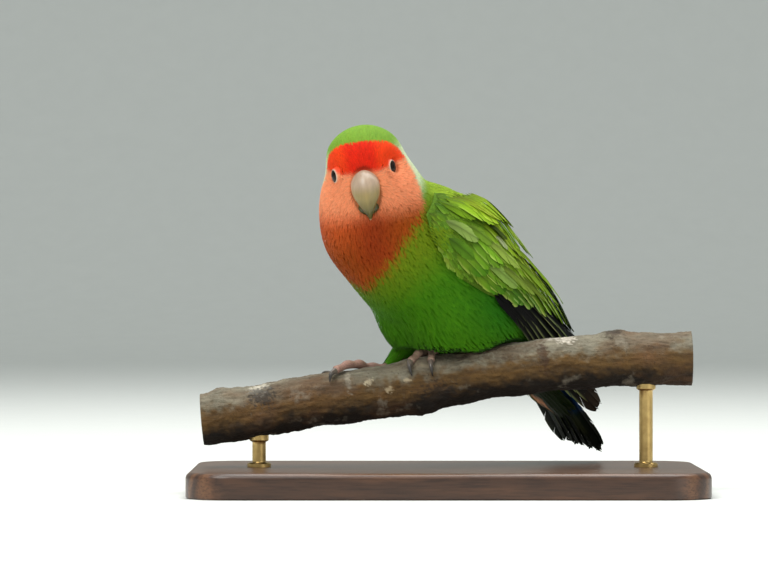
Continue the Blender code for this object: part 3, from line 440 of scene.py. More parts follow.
def markings(points, shift=0.0):
    # colour of the plumage at these places; shift moves the edges between colours to and fro
    head, torso = inHead(points), inTorso(points)
    ahead, left, up = head.T
    run, turn = torso[:, 0], turnOf(torso)
    wave = (0.8 * np.sin(points[:, 0] * 0.9 + points[:, 2] * 0.7)
            + 0.6 * np.sin(points[:, 1] * 1.1 - points[:, 2] * 1.3))
    green = smoothMix(plumage["belly"], plumage["flank"], ramp(turn, 40, 85) * ramp(-run, -6, 18))
    green = smoothMix(green, plumage["breastGreen"], ramp(run, 4, 24) * (1.0 - ramp(turn, 95, 130)))
    green = smoothMix(green, plumage["mantle"], ramp(turn, 98, 132))
    green = smoothMix(green, plumage["vent"], ramp(-run, 20, 38) * (1.0 - ramp(turn, 90, 120)))
    green = smoothMix(green, plumage["rump"], ramp(-run + wave, 20, 27) * ramp(turn, 118, 138))
    green = smoothMix(green, plumage["nape"], ramp(run, 29, 37) * ramp(ahead, -16, -9))
    green = smoothMix(green, plumage["crown"], ramp(up, 4, 10))
    # the breast is painted darker than the throat, partly its own deeper orange and partly painted shade under the
    # head
    face = smoothMix(plumage["breast"], plumage["throat"], ramp(run, 30, 46))
    face = smoothMix(face, plumage["cheek"], ramp(up, -19, -9))
    redEdge = 1.9 + 0.35 * np.maximum(np.abs(left) - 6.5, 0.0)
    face = smoothMix(face, plumage["red"], ramp(up - redEdge + 0.25 * wave + shift * 0.3, -1.2, 1.4))
    face = smoothMix(face, plumage["redSide"], ramp(np.abs(left), 3.5, 8.0) * ramp(up, 1.5, 3.5))
    raised = up - (0.9 - 0.07 * left) * ramp(up, 3.0, 7.0)
    over = ahead - np.interp(raised, *zip(*plumage["faceEdge"])) + 0.12 * wave + shift * 0.25
    below = run - np.interp(turn, *zip(*plumage["breastEdge"])) + 0.5 * wave + 0.7 * shift
    share = ramp(over, -0.5, 0.8) * ramp(below, -2.2, 2.6)
    colour = smoothMix(green, face, share)
    pale = np.exp(-((over + 0.6) / 1.9) ** 2) * ramp(below, -1, 4) * (1.0 - ramp(up, 1, 4))
    colour = smoothMix(colour, plumage["paleRim"], 0.55 * pale)
    # painted shade under the bill: the middle of the throat is darkened towards a deep orange
    throatShadeShare = np.exp(-(left / 8.5) ** 2) * ramp(-up, 10, 17) * (1.0 - ramp(-up, 26, 40))
    colour = smoothMix(colour, plumage["throatShade"], 0.7 * throatShadeShare * share)
    for s in (1, -1):
        away = np.linalg.norm(points - eyeAt(s) - eyeAxes(s)[2] * 1.8, axis=1)
        colour = smoothMix(colour, plumage["eyeRing"], 0.35 * (1.0 - ramp(away, 2.3, 2.9)))
        lores = headPoint(11.2, 5.4 * s, 0.6)
        away = np.linalg.norm((points - lores) * (1.0, 1.0, 1.1), axis=1)
        colour = smoothMix(colour, plumage["cream"], 0.7 * (1.0 - ramp(away, 0.8, 2.9)))
    # painted shade round the bill: the feathers at the edge of the bare oval are darkened, reddish brown above the
    # bill and brown beside and below it
    oval = np.hypot(left / 4.9, (up + 4.6) / 8.2)
    rim = (1.0 - ramp(oval, 1.02, 1.22)) * ramp(ahead, 7.5, 9.5)
    colour = smoothMix(colour, plumage["browShade"], 0.7 * rim * ramp(up, 0.5, 2.5))
    return smoothMix(colour, plumage["gape"], 0.55 * rim * (1.0 - ramp(up, -6.0, 0.5)))


# Skin: one closed surface under the feathers of head, neck and torso

skin = {"inset": 1.0, "rows": 118, "domeRows": 26, "columns": 96}


def bodyGrid(inset):
    stations = np.linspace(0.0, lastStation, skin["rows"])
    domes = np.linspace(0.0, 88.0, skin["domeRows"])[1:]
    turns = np.arange(skin["columns"]) * (2.0 * math.pi / skin["columns"])
    rows = []
    for station, dome in [(s, 0.0) for s in stations] + [(lastStation, d) for d in domes]:
        place, axes = spineAt(station)
        flat = np.cos(turns)[:, None] * axes[0] + np.sin(turns)[:, None] * axes[1]
        rise = math.radians(dome)
        ways = flat * math.cos(rise) + axes[2] * math.sin(rise)
        origins = np.repeat(place[None, :], len(turns), axis=0)
        rows.append(origins + ways * reachToSkin(origins, ways, -inset)[:, None])
    return np.array(rows)


def featherMaterial(name, rough=0.7, barbs=0.25, deep=0.15, vary=0.10, sheen=0.04, gloss=0.16):
    # colour comes from the markings; the barbs are fine ridges that run out from the shaft
    m = Nodes(name)
    tint = m.tint()
    lines = m.add("ShaderNodeUVMap", uv_map="barbLines").outputs[0]
    split = m.add("ShaderNodeSeparateXYZ", {"Vector": lines})
    wave = m.math("SINE", m.math("MULTIPLY", split.outputs[0], 6.28318))
    ridge = m.math("MULTIPLY_ADD", wave, 0.5, 0.5)
    patch = m.noise(0.35, 3.0)
    fine = m.noise(2.2, 2.0)
    lift = m.math("ADD", m.math("MULTIPLY", patch, 2.0 * vary), m.math("MULTIPLY", fine, vary))
    lift = m.math("ADD", lift, m.math("MULTIPLY", ridge, barbs * 0.35))
    bright = m.math("ADD", lift, 1.0 - 1.5 * vary - barbs * 0.17)
    grey = m.add("ShaderNodeCombineXYZ", {"X": bright, "Y": bright, "Z": bright}).outputs[0]
    colour = m.mix(1.0, tint, grey, "MULTIPLY")
    m.set(Base_Color=colour, Roughness=rough, Normal=m.bump(ridge, barbs, deep))
    m.set(Sheen_Weight=sheen, Sheen_Roughness=0.5, Specular_IOR_Level=gloss)
    return m.mat


def makeSkin():
    grid = bodyGrid(skin["inset"])
    rows, columns = grid.shape[:2]
    points = grid.reshape(-1, 3)
    ends = np.array((grid[0].mean(axis=0), grid[-1].mean(axis=0)))
    faces = gridFaces(rows, columns)
    tail, crown = len(points), len(points) + 1
    last = (rows - 1) * columns
    caps = [(tail, (j + 2) % columns, (j + 1) % columns, j) for j in range(0, columns, 2)]
    caps += [(crown, last + j, last + j + 1, last + (j + 2) % columns) for j in range(0, columns, 2)]
    points = np.concatenate((points, ends))
    m = Nodes("downySkin")
    tint = m.tint()
    down = m.noise(1.6, 4.0)
    fluff = m.noise(0.7, 3.0)
    dark = m.ramp(down, [(0.25, (0.76, 0.76, 0.76)), (0.75, (0.97, 0.97, 0.97))])
    m.set(Base_Color=m.mix(1.0, tint, dark, "MULTIPLY"), Roughness=0.85)
    m.set(Normal=m.bump(down, 0.3, 0.3, m.bump(fluff, 0.2, 0.5)), Specular_IOR_Level=0.16)
    obj = addMesh("plumage_skin", points, np.concatenate((faces, caps)), m.mat)
    addTint(obj, markings(points))
    addMap(obj, "OFBake", np.concatenate((gridMap(rows, columns), ((0.5, 0.0), (0.5, 1.0)))))
    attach(obj, "root")
    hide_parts("head", "neck", "torso")
    return obj


makeSkin()
outline = bodyGrid(0.0)
print("skin")


# Feathers: a blade of barbs in clumps, drawn once for each kind and laid many times

blades = {
    # barbs, cells across, lean of the barbs, where the end starts to round, barbs to a clump,
    # gape between clumps, width at the root, ruffle and height of the shaft
    "head": (5, 1, 0.7, 0.45, (1, 2), 0.12, 0.4, 0.03, 0.0),
    "breast": (8, 1, 0.9, 0.45, (1, 2), 0.09, 0.4, 0.04, 0.0),
    "belly": (9, 1, 1.0, 0.45, (1, 2), 0.09, 0.4, 0.04, 0.0),
    "long": (56, 3, 0.14, 0.86, (3, 14), 0.012, 0.35, 0.05, 0.10),
    "broad": (30, 3, 0.26, 0.6, (3, 9), 0.02, 0.4, 0.06, 0.08),
    "small": (14, 2, 0.45, 0.5, (1, 4), 0.06, 0.4, 0.08, 0.05),
    "tail": (56, 3, 0.12, 0.78, (3, 14), 0.012, 0.7, 0.05, 0.08),
    "tailCovert": (28, 3, 0.22, 0.55, (2, 8), 0.02, 0.5, 0.06, 0.06),
}


def featherShape(seed, barbs, across, lean, blunt, clump, gape, root, ruffle, shaft):
    rng = random.Random(seed)
    places = [0.985 * (i / barbs) ** 0.92 for i in range(barbs + 1)]

    def width(a):
        swell = root + (1.0 - root) * np.minimum(a * 2.0, 1.0) ** 0.8
        end = np.sqrt(np.clip(1.0 - (np.clip(a - blunt, 0.0, 1.0) / (1.0 - blunt)) ** 2, 0.0, 1.0))
        return swell * end

    a0 = np.array(places)
    low, high = np.zeros(len(a0)), np.full(len(a0), 1.1)
    for _ in range(20):  # how far out each barb meets the blade's outline
        middle = (low + high) / 2.0
        inside = middle < width(np.minimum(a0 + lean * middle, 1.0))
        low, high = np.where(inside, middle, low), np.where(inside, high, middle)
    reach = np.maximum(low, 0.02)
    points, faces, lines = [], [], []
    for s in (1, -1):
        cuts, i = [0], 0
        while i < barbs:
            i = min(barbs, i + rng.randint(*clump))
            cuts.append(i)
        for first, last in zip(cuts, cuts[1:]):
            base = len(points)
            lift, grow = rng.uniform(-1.0, 1.0) * ruffle, rng.uniform(0.88, 1.06)
            for i in range(first, last + 1):
                for j in range(across + 1):
                    t = j / across
                    out = reach[i] * t * (grow if j == across else 1.0)
                    part = gape * t * t * (0.5 if i == first else -0.5 if i == last else 0.0)
                    bow = lean * 0.35 * t * (1.0 - t) * reach[i]
                    height = lift * t + shaft * (1.0 - t) ** 6
                    points.append((a0[i] + lean * out - bow + part, s * out, height))
                    lines.append((float(i), t))
            for i in range(last - first):
                for j in range(across):
                    q = base + i * (across + 1) + j
                    quad = (q, q + across + 1, q + across + 2, q + 1)
                    faces.append(quad if s > 0 else quad[::-1])
    return {"points": np.array(points), "faces": np.array(faces), "lines": np.array(lines)}


def bladesOf(kind, count, seed):
    return [featherShape(seed + k, *blades[kind]) for k in range(count)]


def along1(values, places):
    # values (feathers, stations, 3) read at places (feathers, points) from 0 to 1
    count = values.shape[1] - 1
    at = np.clip(places, 0.0, 1.0) * count
    low = np.minimum(at.astype(int), count - 1)
    t = (at - low)[..., None]
    rows = np.arange(len(values))[:, None]
    return values[rows, low] * (1.0 - t) + values[rows, low + 1] * t


patch = 0.003  # width of a feather's place on the map OFBake


def layFeathers(name, shapes, pick, centres, sides, outs, half, camber, colourOf, places, mat, soft=0.0):
    # lays feathers along centre lines; sides and outs say which way each lies across and faces
    points, faces, tints, uvs, lines, facing, base = [], [], [], [], [], [], 0
    for k, shape in enumerate(shapes):
        use = np.where(pick == k)[0]
        if not len(use):
            continue
        a, b, h = shape["points"].T
        a, b = np.repeat(a[None], len(use), 0), np.repeat(b[None], len(use), 0)
        wide = half[use][:, None]
        p = along1(centres[use], a)
        s, o = along1(sides[use], a), along1(outs[use], a)
        past = (a - np.clip(a, 0.0, 1.0))[..., None]
        p = p + past * (centres[use][:, -1:] - centres[use][:, -2:-1]) * (centres.shape[1] - 1)
        rise = (h[None] - camber * b * b) * wide
        p = p + s * (b * wide)[..., None] + o * rise[..., None]
        count = a.shape[1]
        tints.append(colourOf(use, a, b).reshape(-1, 3))
        points.append(p.reshape(-1, 3))
        uv = places[use][:, None, :] + patch * np.stack((b * 0.5, a - 0.5), axis=-1)
        uvs.append(uv.reshape(-1, 2))
        lines.append(np.repeat(shape["lines"][None], len(use), 0).reshape(-1, 2))
        facing.append(o.reshape(-1, 3))
        shift = base + np.arange(len(use))[:, None, None] * count
        faces.append((shape["faces"][None] + shift).reshape(-1, 4))
        base += len(use) * count
    obj = addMesh(name, np.concatenate(points), np.concatenate(faces), mat)
    addTint(obj, np.clip(np.concatenate(tints), 0.0, 1.0))
    addMap(obj, "OFBake", np.concatenate(uvs))
    addMap(obj, "barbLines", np.concatenate(lines))
    obj.data.uv_layers["OFBake"].active_render = True
    if soft:  # the barbs catch the light as the body under them does
        own = np.zeros(len(obj.data.vertices) * 3, np.float32)
        obj.data.vertices.foreach_get("normal", own)
        own, under = own.reshape(-1, 3), np.concatenate(facing)
        own = own * np.sign(dot(own, under) + 1e-6)[:, None]
        obj.data.normals_split_custom_set_from_vertices(unit(own * (1.0 - soft) + under * soft).tolist())
    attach(obj, "root")
    print(name, len(obj.data.polygons) * 2, "triangles")
    return obj


coat = {
    "seed": 7, "limit": 190000, "steps": 4, "inset": 0.75, "tipLift": (-0.08, 0.06),
    "lengths": 4.4, "halfWidth": 0.70, "camber": 0.06, "soft": 0.93,
    "skew": 0.11, "shade": 0.05, "warm": 0.045,  # how far feathers differ in way and colour
    "finest": (12.5, 0.0, -2.5), "gaps": (0.34, 0.13, 0.19, 0.24),  # at the bill, and more on face, neck and body
    "billPoint": (15.0, 0.0, -1.5), "eyeReach": 5.0, "eyeSpread": 1.2,  # what the lie of the coat leads away from
    "lidRise": (1.35, 3.7), "mantleRise": 2.4,
    "chin": -17.0, "breastEnd": 6.0,  # where the coats of the head and the breast end
}


def coatLift(points):
    # where the plumage stands over the outline or lies under it
    _, left, up = inHead(points).T
    lift = (0.045 * left - 0.30) * ramp(up, -5, 6) - 0.25 * ramp(up, 8, 14)
    rise, reach = coat["lidRise"]
    for s in (1, -1):
        rim = eyeAt(s) + eyeAxes(s)[2] * 2.2 + headAxes[0] * 1.4
        lift = lift + rise * np.exp(-np.sum((points - rim) ** 2, axis=1) / reach**2)
    torso = inTorso(points)  # the mantle rises over the front of the folded wing
    run, turn = torso[:, 0], turnOf(torso)
    low, high = wingEdges(run)
    wingFront = (ramp(run, 12, 16) - ramp(run, 20, 29)) * ramp(turn - low, -3, 3) * ramp(high - turn, -6, 3)
    return lift + coat["mantleRise"] * np.clip(wingFront, 0.0, 1.0)


def lieOf(points, normals):
    # the way the coat lies: away from the bill and the eyes over the head, then down to the tail
    ahead, _, up = inHead(points).T
    fromBill = unit(points - headPoint(*coat["billPoint"]))
    lower = ramp(-up, 16, 34)[:, None]
    tailward = unit(-headUp * (1.0 - lower) - along * lower)
    share = (ramp(up, -20, -6) * ramp(ahead, -14, 2))[:, None]
    way = fromBill * share + tailward * (1.0 - share)
    for s in (1, -1):
        fromEye = points - eyeAt(s) - eyeAxes(s)[2] * 2.0
        close = np.exp(-np.sum(fromEye**2, axis=1) / coat["eyeReach"]**2)[:, None]
        way = way + unit(fromEye) * close * coat["eyeSpread"]
    way = way - normals * dot(way, normals)[:, None]
    return unit(way)


def spacingOf(points):
    # smallest round the bill, wider down the neck and widest on the body
    up, run = inHead(points)[:, 2], inTorso(points)[:, 0]
    fromBill = np.linalg.norm(points - headPoint(*coat["finest"]), axis=1)
    least, face, neck, lower = coat["gaps"]
    return least + face * ramp(fromBill, 6, 19) + neck * ramp(-up, 12, 28) + lower * ramp(-run, -22, 12)


tries, closest = 2.6, 0.72  # roots tried for each one wanted; square of the least gap against the spacing
besides = [(x, y, z) for x in (-1, 0, 1) for y in (-1, 0, 1) for z in (-1, 0, 1)]


def scatter(grid, spacing, allowed, seed, closed=True):
    # roots spread evenly but at random over a grid of points
    rng = np.random.default_rng(seed)
    rows, columns = grid.shape[:2]
    wrap = np.concatenate((grid, grid[:, :1]), axis=1) if closed else grid
    a, b, c, d = (g.reshape(-1, 3) for g in (wrap[:-1, :-1], wrap[:-1, 1:], wrap[1:, 1:], wrap[1:, :-1]))
    wide = columns if closed else columns - 1
    area = np.linalg.norm(np.cross(c - a, d - b), axis=1) / 2.0
    size = spacing((a + c) / 2.0)
    weight = area / size**2
    count = int(weight.sum() * tries)
    cells = rng.choice(len(area), count, p=weight / weight.sum())
    u, v = rng.random(count), rng.random(count)
    points = (a[cells] * ((1 - u) * (1 - v))[:, None] + b[cells] * (u * (1 - v))[:, None]
              + c[cells] * (u * v)[:, None] + d[cells] * ((1 - u) * v)[:, None])
    uv = np.stack(((cells % wide + u) / columns, (cells // wide + v) / rows), axis=-1)
    keep = allowed(points)
    points, uv = points[keep], uv[keep]
    size = spacing(points)
    step = float(size.max())
    boxes, chosen = {}, []
    keys = np.floor(points / step).astype(int)
    for i, (key, r) in enumerate(zip(map(tuple, keys), size)):
        x, y, z = points[i]
        near = (q for dx, dy, dz in besides for q in boxes.get((key[0] + dx, key[1] + dy, key[2] + dz), ()))
        if all((q[0] - x) ** 2 + (q[1] - y) ** 2 + (q[2] - z) ** 2 >= r * r * closest for q in near):
            boxes.setdefault(key, []).append(points[i])
            chosen.append(i)
    return points[chosen], uv[chosen]


def mayGrow(points):
    # where feathers grow: not on the eyes and the bill or under the folded wings
    free = np.ones(len(points), bool)
    for s in (1, -1):
        axes = eyeAxes(s)
        local = (points - eyeAt(s)) @ axes.T
        free &= ~((np.hypot(local[:, 0], local[:, 1]) < eye["ring"][1] - 0.1) & (local[:, 2] > 0))
    ahead, left, up = inHead(points).T
    free &= ~((ahead > 8.5) & (((left / 4.9) ** 2 + ((up + 4.6) / 8.2) ** 2) < 1.0))
    run, turn = inTorso(points)[:, 0], turnOf(inTorso(points))
    low, high = wingEdges(run)
    covered = (run < 18) & (run > -17) & (turn > low + 14) & (turn < high - 12)
    return free & ~covered


def makeCoat():
    rng = np.random.default_rng(coat["seed"])
    roots, places = scatter(outline, spacingOf, mayGrow, coat["seed"])
    size = spacingOf(roots)
    normals = bodyNormal(roots)
    count = len(roots)
    length = size * coat["lengths"] * rng.uniform(0.85, 1.2, count)
    way = lieOf(roots, normals)
    sideways = np.cross(normals, way)
    skew = rng.normal(0.0, coat["skew"], count)[:, None]
    way = unit(way + sideways * skew)
    tipLift = rng.uniform(*coat["tipLift"], count) * np.clip(size / 1.4, 0.35, 1.2)
    inset = coat["inset"] * np.clip(size / 0.75, 0.55, 1.2)
    centres, outs, ways = [ontoBody(roots, coatLift(roots) - inset, 2)], [normals], [way]
    place, steps = roots, coat["steps"]
    for k in range(1, steps + 1):
        place = place + ways[-1] * (length / steps)[:, None]
        t = k / steps
        height = coatLift(place) - inset * (1.0 - t) ** 1.6 + tipLift * t * t
        place = ontoBody(place, height, 2)
        normal = bodyNormal(place)
        flow = unit(0.5 * ways[-1] + 0.5 * lieOf(place, normal) + np.cross(normal, way) * skew * 0.5)
        centres.append(place)
        outs.append(normal)
        ways.append(unit(flow - normal * dot(flow, normal)[:, None]))
    centres, outs = np.stack(centres, axis=1), np.stack(outs, axis=1)
    sides = unit(np.cross(outs, unit(np.gradient(centres, axis=1))))
    tips = centres[:, -1]
    colours = markings(tips, rng.normal(0.0, 1.0, count) * ramp(-inHead(tips)[:, 2], 2, 14) * 1.6)
    shade = 1.0 + rng.normal(0.0, coat["shade"], count)
    warm = rng.normal(0.0, coat["warm"], count)
    colours = colours * (shade[:, None] * np.stack((1 + warm, np.ones(count), 1 - warm * 0.5), axis=-1))

    def colourOf(use, a, b):
        deep = 0.90 + 0.10 * ramp(a, 0.15, 0.75)
        rim = 1.0 + 0.05 * ramp(a, 0.8, 1.0) + 0.03 * np.abs(b)
        return colours[use][:, None, :] * (deep * rim)[..., None]

    up = inHead(tips)[:, 2]
    run = inTorso(tips)[:, 0]
    zone = np.where(up > coat["chin"], 0, np.where(run > coat["breastEnd"], 1, 2))
    kinds = (("head_coat", "plumage_peach", bladesOf("head", 4, 0)),
             ("breast_coat", "plumage_peach", bladesOf("breast", 6, 10)),
             ("belly_coat", "plumage_green", bladesOf("belly", 6, 20)))
    mat = featherMaterial("contourFeather")
    for k, (name, slot, shapes) in enumerate(kinds):
        use = np.where(zone == k)[0]
        room = int(coat["limit"] // (2 * max(len(s["faces"]) for s in shapes)))
        for part in range(0, len(use), room):  # a coat over the limit goes on in a second piece
            some = use[part:part + room]
            layFeathers(
                f"{name}_{part // room}" if part else name, shapes, rng.integers(0, len(shapes), len(some)),
                centres[some], sides[some], outs[some], (size * coat["halfWidth"])[some],
                coat["camber"], lambda use, a, b, some=some: colourOf(some[use], a, b), places[some], mat,
                soft=coat["soft"])
    print("coat of", count, "feathers")


wing = {
    "stations": (28, 22, 13, 3, -8, -16), "lower": (90, 76, 71, 72, 80, 90),
    "upper": (126, 142, 150, 152, 150, 144), "thick": 2.1, "clear": 0.6,
    "free": (  # along, then radius and offset of the folded sheet
        (30, 8, 2), (0, 18.6, 5), (-11, 19, 6), (-27, 17.4, 7.5), (-38, 15.6, 7.8), (-51, 13.2, 7.4),
        (-70, 11.8, 5.5), (-84, 11, 3.5)),
    "inset": 0.7, "rows": 34, "columns": 22,
    "small": 1.45, "smallLengths": 3.3, "smallHalf": 0.95,  # spacing of the lesser coverts, and their size against it
    "tiers": {
        "primaries": dict(count=7, root=((-10, 84), (-13, 104)), tip=((-80.5, 113), (-62, 152)), half=3.5,
                          height=(1.2, 1.6, 1.5), rise=0.2, roll=-4, twist=30, bow=4, shape="long"),
        "secondaries": dict(count=12, root=((-6, 89), (-10, 141)), tip=((-20, 99), (-53, 149)), half=3.2,
                            height=(1.6, 2.5, 2.6), rise=0.05, roll=-9, twist=0, bow=2, shape="long"),
        "greaterCoverts": dict(count=11, root=((6, 83), (3, 134)), tip=((-9, 85), (-31, 137)), half=2.9,
                               height=(1.6, 2.8, 3.1), rise=0.03, roll=-9, twist=0, bow=0, shape="broad"),
        "medianCoverts": dict(count=9, root=((14, 83), (12, 130)), tip=((1, 83), (-13, 132)), half=2.9,
                              height=(1.9, 3.1, 3.6), rise=0.03, roll=-8, twist=0, bow=0, shape="broad"),
        "longScapulars": dict(count=6, root=((12, 130), (8, 152)), tip=((-8, 134), (-19, 152)), half=3.1,
                              height=(2.5, 3.8, 3.2), rise=0.08, roll=-3, twist=0, bow=0, shape="broad"),
        "scapulars": dict(count=8, root=((25, 122), (15, 153)), tip=((7, 127), (-5, 153)), half=3.1,
                          height=(2.2, 3.9, 4.6), rise=0.05, roll=-7, twist=0, bow=0, shape="broad"),
    },
}


def polarPoint(a, turn, radius, s):
    angle = np.radians(turn)
    ways = np.cos(angle)[..., None] * -back + np.sin(angle)[..., None] * side * s
    return torsoAt + a[..., None] * along + ways * radius[..., None]


def sheetRadius(a, turn, s):
    # radius of the surface that the folded wing lies on, about the torso's long axis: the body's own
    # at the shoulder, then a free arc that carries on to the wing's tip
    held = np.clip(a, -44.0, 30.0).ravel()
    origins = torsoAt + held[:, None] * along
    ways = polarPoint(held, turn.ravel(), np.ones_like(held), s) - origins
    body = reachToSkin(origins, ways).reshape(a.shape) * np.clip((a + 60.0) / 16.0, 0.0, 1.0)
    xs, radii, offsets = zip(*reversed(wing["free"]))
    radius, offset = np.interp(a, xs, radii), np.interp(a, xs, offsets)
    away = np.radians(180.0 - turn)
    free = offset * np.cos(away) + np.sqrt(radius**2 - (offset * np.sin(away)) ** 2)
    return np.log(np.exp(body) + np.exp(free))


def sheetPoint(a, turn, height, s):
    a, turn, height = np.broadcast_arrays(*(np.asarray(v, float) for v in (a, turn, height)))
    return polarPoint(a, turn, sheetRadius(a, turn, s) + height, s)


def wingEdges(a):
    stations = [-v for v in wing["stations"]]
    return np.interp(-a, stations, wing["lower"]), np.interp(-a, stations, wing["upper"])


def wingPlate(s, inset):
    # upper and lower face of the feathered arm
    shares = np.linspace(0.0, 1.0, wing["rows"])
    a = wing["stations"][0] + (wing["stations"][-1] - wing["stations"][0]) * shares
    low, high = wingEdges(a)
    across = np.linspace(-1.0, 1.0, wing["columns"])
    turn = (low[:, None] + high[:, None]) / 2.0 + (high - low)[:, None] / 2.0 * across
    lengthwise = (1.0 - np.abs(2.0 * shares - 0.9) ** 3)[:, None]
    thick = 0.55 + (wing["thick"] - 0.55) * np.sqrt(np.clip((1.0 - across**2) * lengthwise, 0.0, 1.0))
    level = np.repeat(a[:, None], wing["columns"], 1)
    low = sheetPoint(level, turn, wing["clear"] + 0.1, s)
    return low, sheetPoint(level, turn, wing["clear"] + np.maximum(thick - inset, 0.25), s)


def onSheet(points, s):
    # how far along the torso points lie, and their turn from the belly round to the back
    local = (points - torsoAt) @ np.array((along, side * s, back)).T
    return local[..., 0], np.degrees(np.arctan2(local[..., 1], -local[..., 2]))


def feathersOn(ends, heights, roll, twist, bow, s, steps=12):
    # centre lines and frames of feathers laid on the sheet, from (root, tip) pairs in (along, degrees)
    ends = np.asarray(ends, float)
    t = np.linspace(0.0, 1.0, steps)
    corner = sheetPoint(ends[..., 0], ends[..., 1], 0.0, s)
    line = corner[:, :1] + t[None, :, None] * (corner[:, 1:] - corner[:, :1])
    a, turn = onSheet(line, s)
    turn = turn + (np.broadcast_to(bow, (len(ends),))[:, None] * 4.0 * t * (1.0 - t))
    rises = np.array([np.interp(t, (0.0, 0.3, 1.0), h) for h in heights])
    centres = sheetPoint(a, turn, rises, s)
    outs = centres - (torsoAt + a[..., None] * along)
    ways = unit(np.gradient(centres, axis=1))
    outs = unit(outs - ways * dot(outs, ways)[..., None])
    sides = np.cross(outs, ways)
    roll, twist = (np.broadcast_to(v, (len(ends),))[:, None] for v in (roll, twist))
    tilt = np.radians((roll + twist * t**2) * s)[..., None]
    return centres, sides * np.cos(tilt) + outs * np.sin(tilt), outs * np.cos(tilt) - sides * np.sin(tilt)


oddFeathers = (  # root and tip as (along, degrees), half width, height, colour
    ((22, 97), (8.5, 104), 2.7, 3.6, (132, 158, 76)), ((15, 108), (3, 112), 2.6, 3.7, (108, 142, 40)),
    ((18, 86), (6, 89), 2.5, 3.5, (84, 126, 26)), ((4, 121), (-4, 120), 1.3, 4.1, (160, 172, 122)),
    ((8, 124), (-2, 126), 1.5, 4.5, (58, 76, 18)), ((6, 112), (-12, 117), 2.7, 4.0, (146, 172, 70)),
    ((2, 96), (-15, 103), 2.6, 3.7, (128, 158, 70)), ((-2, 104), (-24, 116), 2.5, 3.6, (120, 144, 50)),
    ((-8, 112), (-33, 127), 2.4, 3.5, (96, 116, 30)), ((-6, 122), (-38, 137), 2.5, 3.9, (118, 150, 34)),
    ((-4, 132), (-41, 147), 2.4, 4.2, (126, 158, 30)), ((26, 112), (13, 118), 2.2, 3.7, (112, 150, 26)),
)
vaneColours = {
    "lesser": paint(98, 138, 30), "lesserRim": paint(138, 166, 64), "covert": paint(98, 138, 30),
    "covertRim": paint(160, 182, 84), "emerald": paint(36, 112, 10), "secondary": paint(84, 122, 30),
    "secondaryRim": paint(166, 184, 96), "inner": paint(22, 40, 6), "primary": paint(6, 8, 3),
    "primaryTip": paint(44, 30, 16), "primaryRim": paint(142, 150, 96),
    "scapular": paint(128, 156, 28), "scapularRim": paint(162, 182, 66),
    "fringe": paint(168, 190, 74),
    "tail": paint(14, 22, 8), "tailTeal": paint(4, 46, 32), "tailRim": paint(78, 84, 44),
    "tailSpot": paint(226, 150, 96), "blue": paint(8, 62, 120), "underTail": paint(64, 100, 30),
    "upperTail": paint(60, 110, 40),
}


def wingColour(tier, s, heads, turns, rng):
    # outer vanes are pale-rimmed, inner vanes and shafts are dark, tips wear paler
    spread = 0.10 if tier == "lesser" else 0.15
    hue = 1.0 + rng.normal(0.0, spread, len(heads))[:, None, None]
    warm = rng.normal(0.0, 0.07, len(heads))[:, None, None] * np.array((1.0, 0.0, -0.6))

    def colourOf(use, a, b):
        edge = -b * s  # from the inner rim at -1 to the outer, lower rim at 1
        v = vaneColours
        if tier == "primaries":
            rim = ramp(edge, 0.66, 0.90) * 0.95 * (1.0 - ramp(a, 0.86, 0.98))
            colour = smoothMix(v["primary"], v["primaryRim"], rim)
            colour = smoothMix(colour, v["primaryTip"], 0.8 * ramp(a, 0.8, 0.95))
        else:
            small, row = tier == "lesser", turns[use][:, None] + 0.0 * a
            name = {"secondaries": "secondary", "scapulars": "scapular", "longScapulars": "scapular",
                    "lesser": "lesser"}.get(tier, "covert")
            rim = ramp(np.abs(edge), 0.62, 1.0) * np.where(edge > 0, 1.0, 0.55)
            base = v[name] * np.ones(a.shape + (3,))
            high = np.zeros(a.shape) if small else 0.75 * ramp(row, 106, 128)
            base = smoothMix(base, v["scapular"], high)
            dark = 0.85 if tier == "secondaries" else 0.4 if small else 0.7
            base = smoothMix(base, v["inner"], dark * ramp(-edge, -0.15, 0.5))
            low = (1.0 - ramp(row, 84, 100)) * (not small)
            base = smoothMix(base, v["emerald"], 0.6 * low * ramp(a, 0.5, 0.9) * (1.0 - 0.6 * rim))
            if small:  # a pale fringe along the wing's lower edge
                fringe = (1.0 - ramp(turns[use] - wingEdges(heads[use])[0], 1, 4)) * ramp(heads[use], 5, 12)
                base = smoothMix(base, v["fringe"], (0.5 * fringe)[:, None])
            colour = smoothMix(base, v[name + "Rim"], rim * (0.5 if small else 0.8))
            if tier == "secondaries":
                colour = smoothMix(colour, v["inner"], 0.55 * ramp(a, 0.9, 1.0) * ramp(-edge, -0.8, 0.2))
        shaft = 1.0 - 0.35 * np.exp(-(b / 0.07) ** 2)
        deep = 0.60 + 0.40 * ramp(a, 0.0, 0.5)
        return np.clip(colour * (shaft * deep)[..., None] * (hue[use] + warm[use]), 0.003, 1.0)

    return colourOf


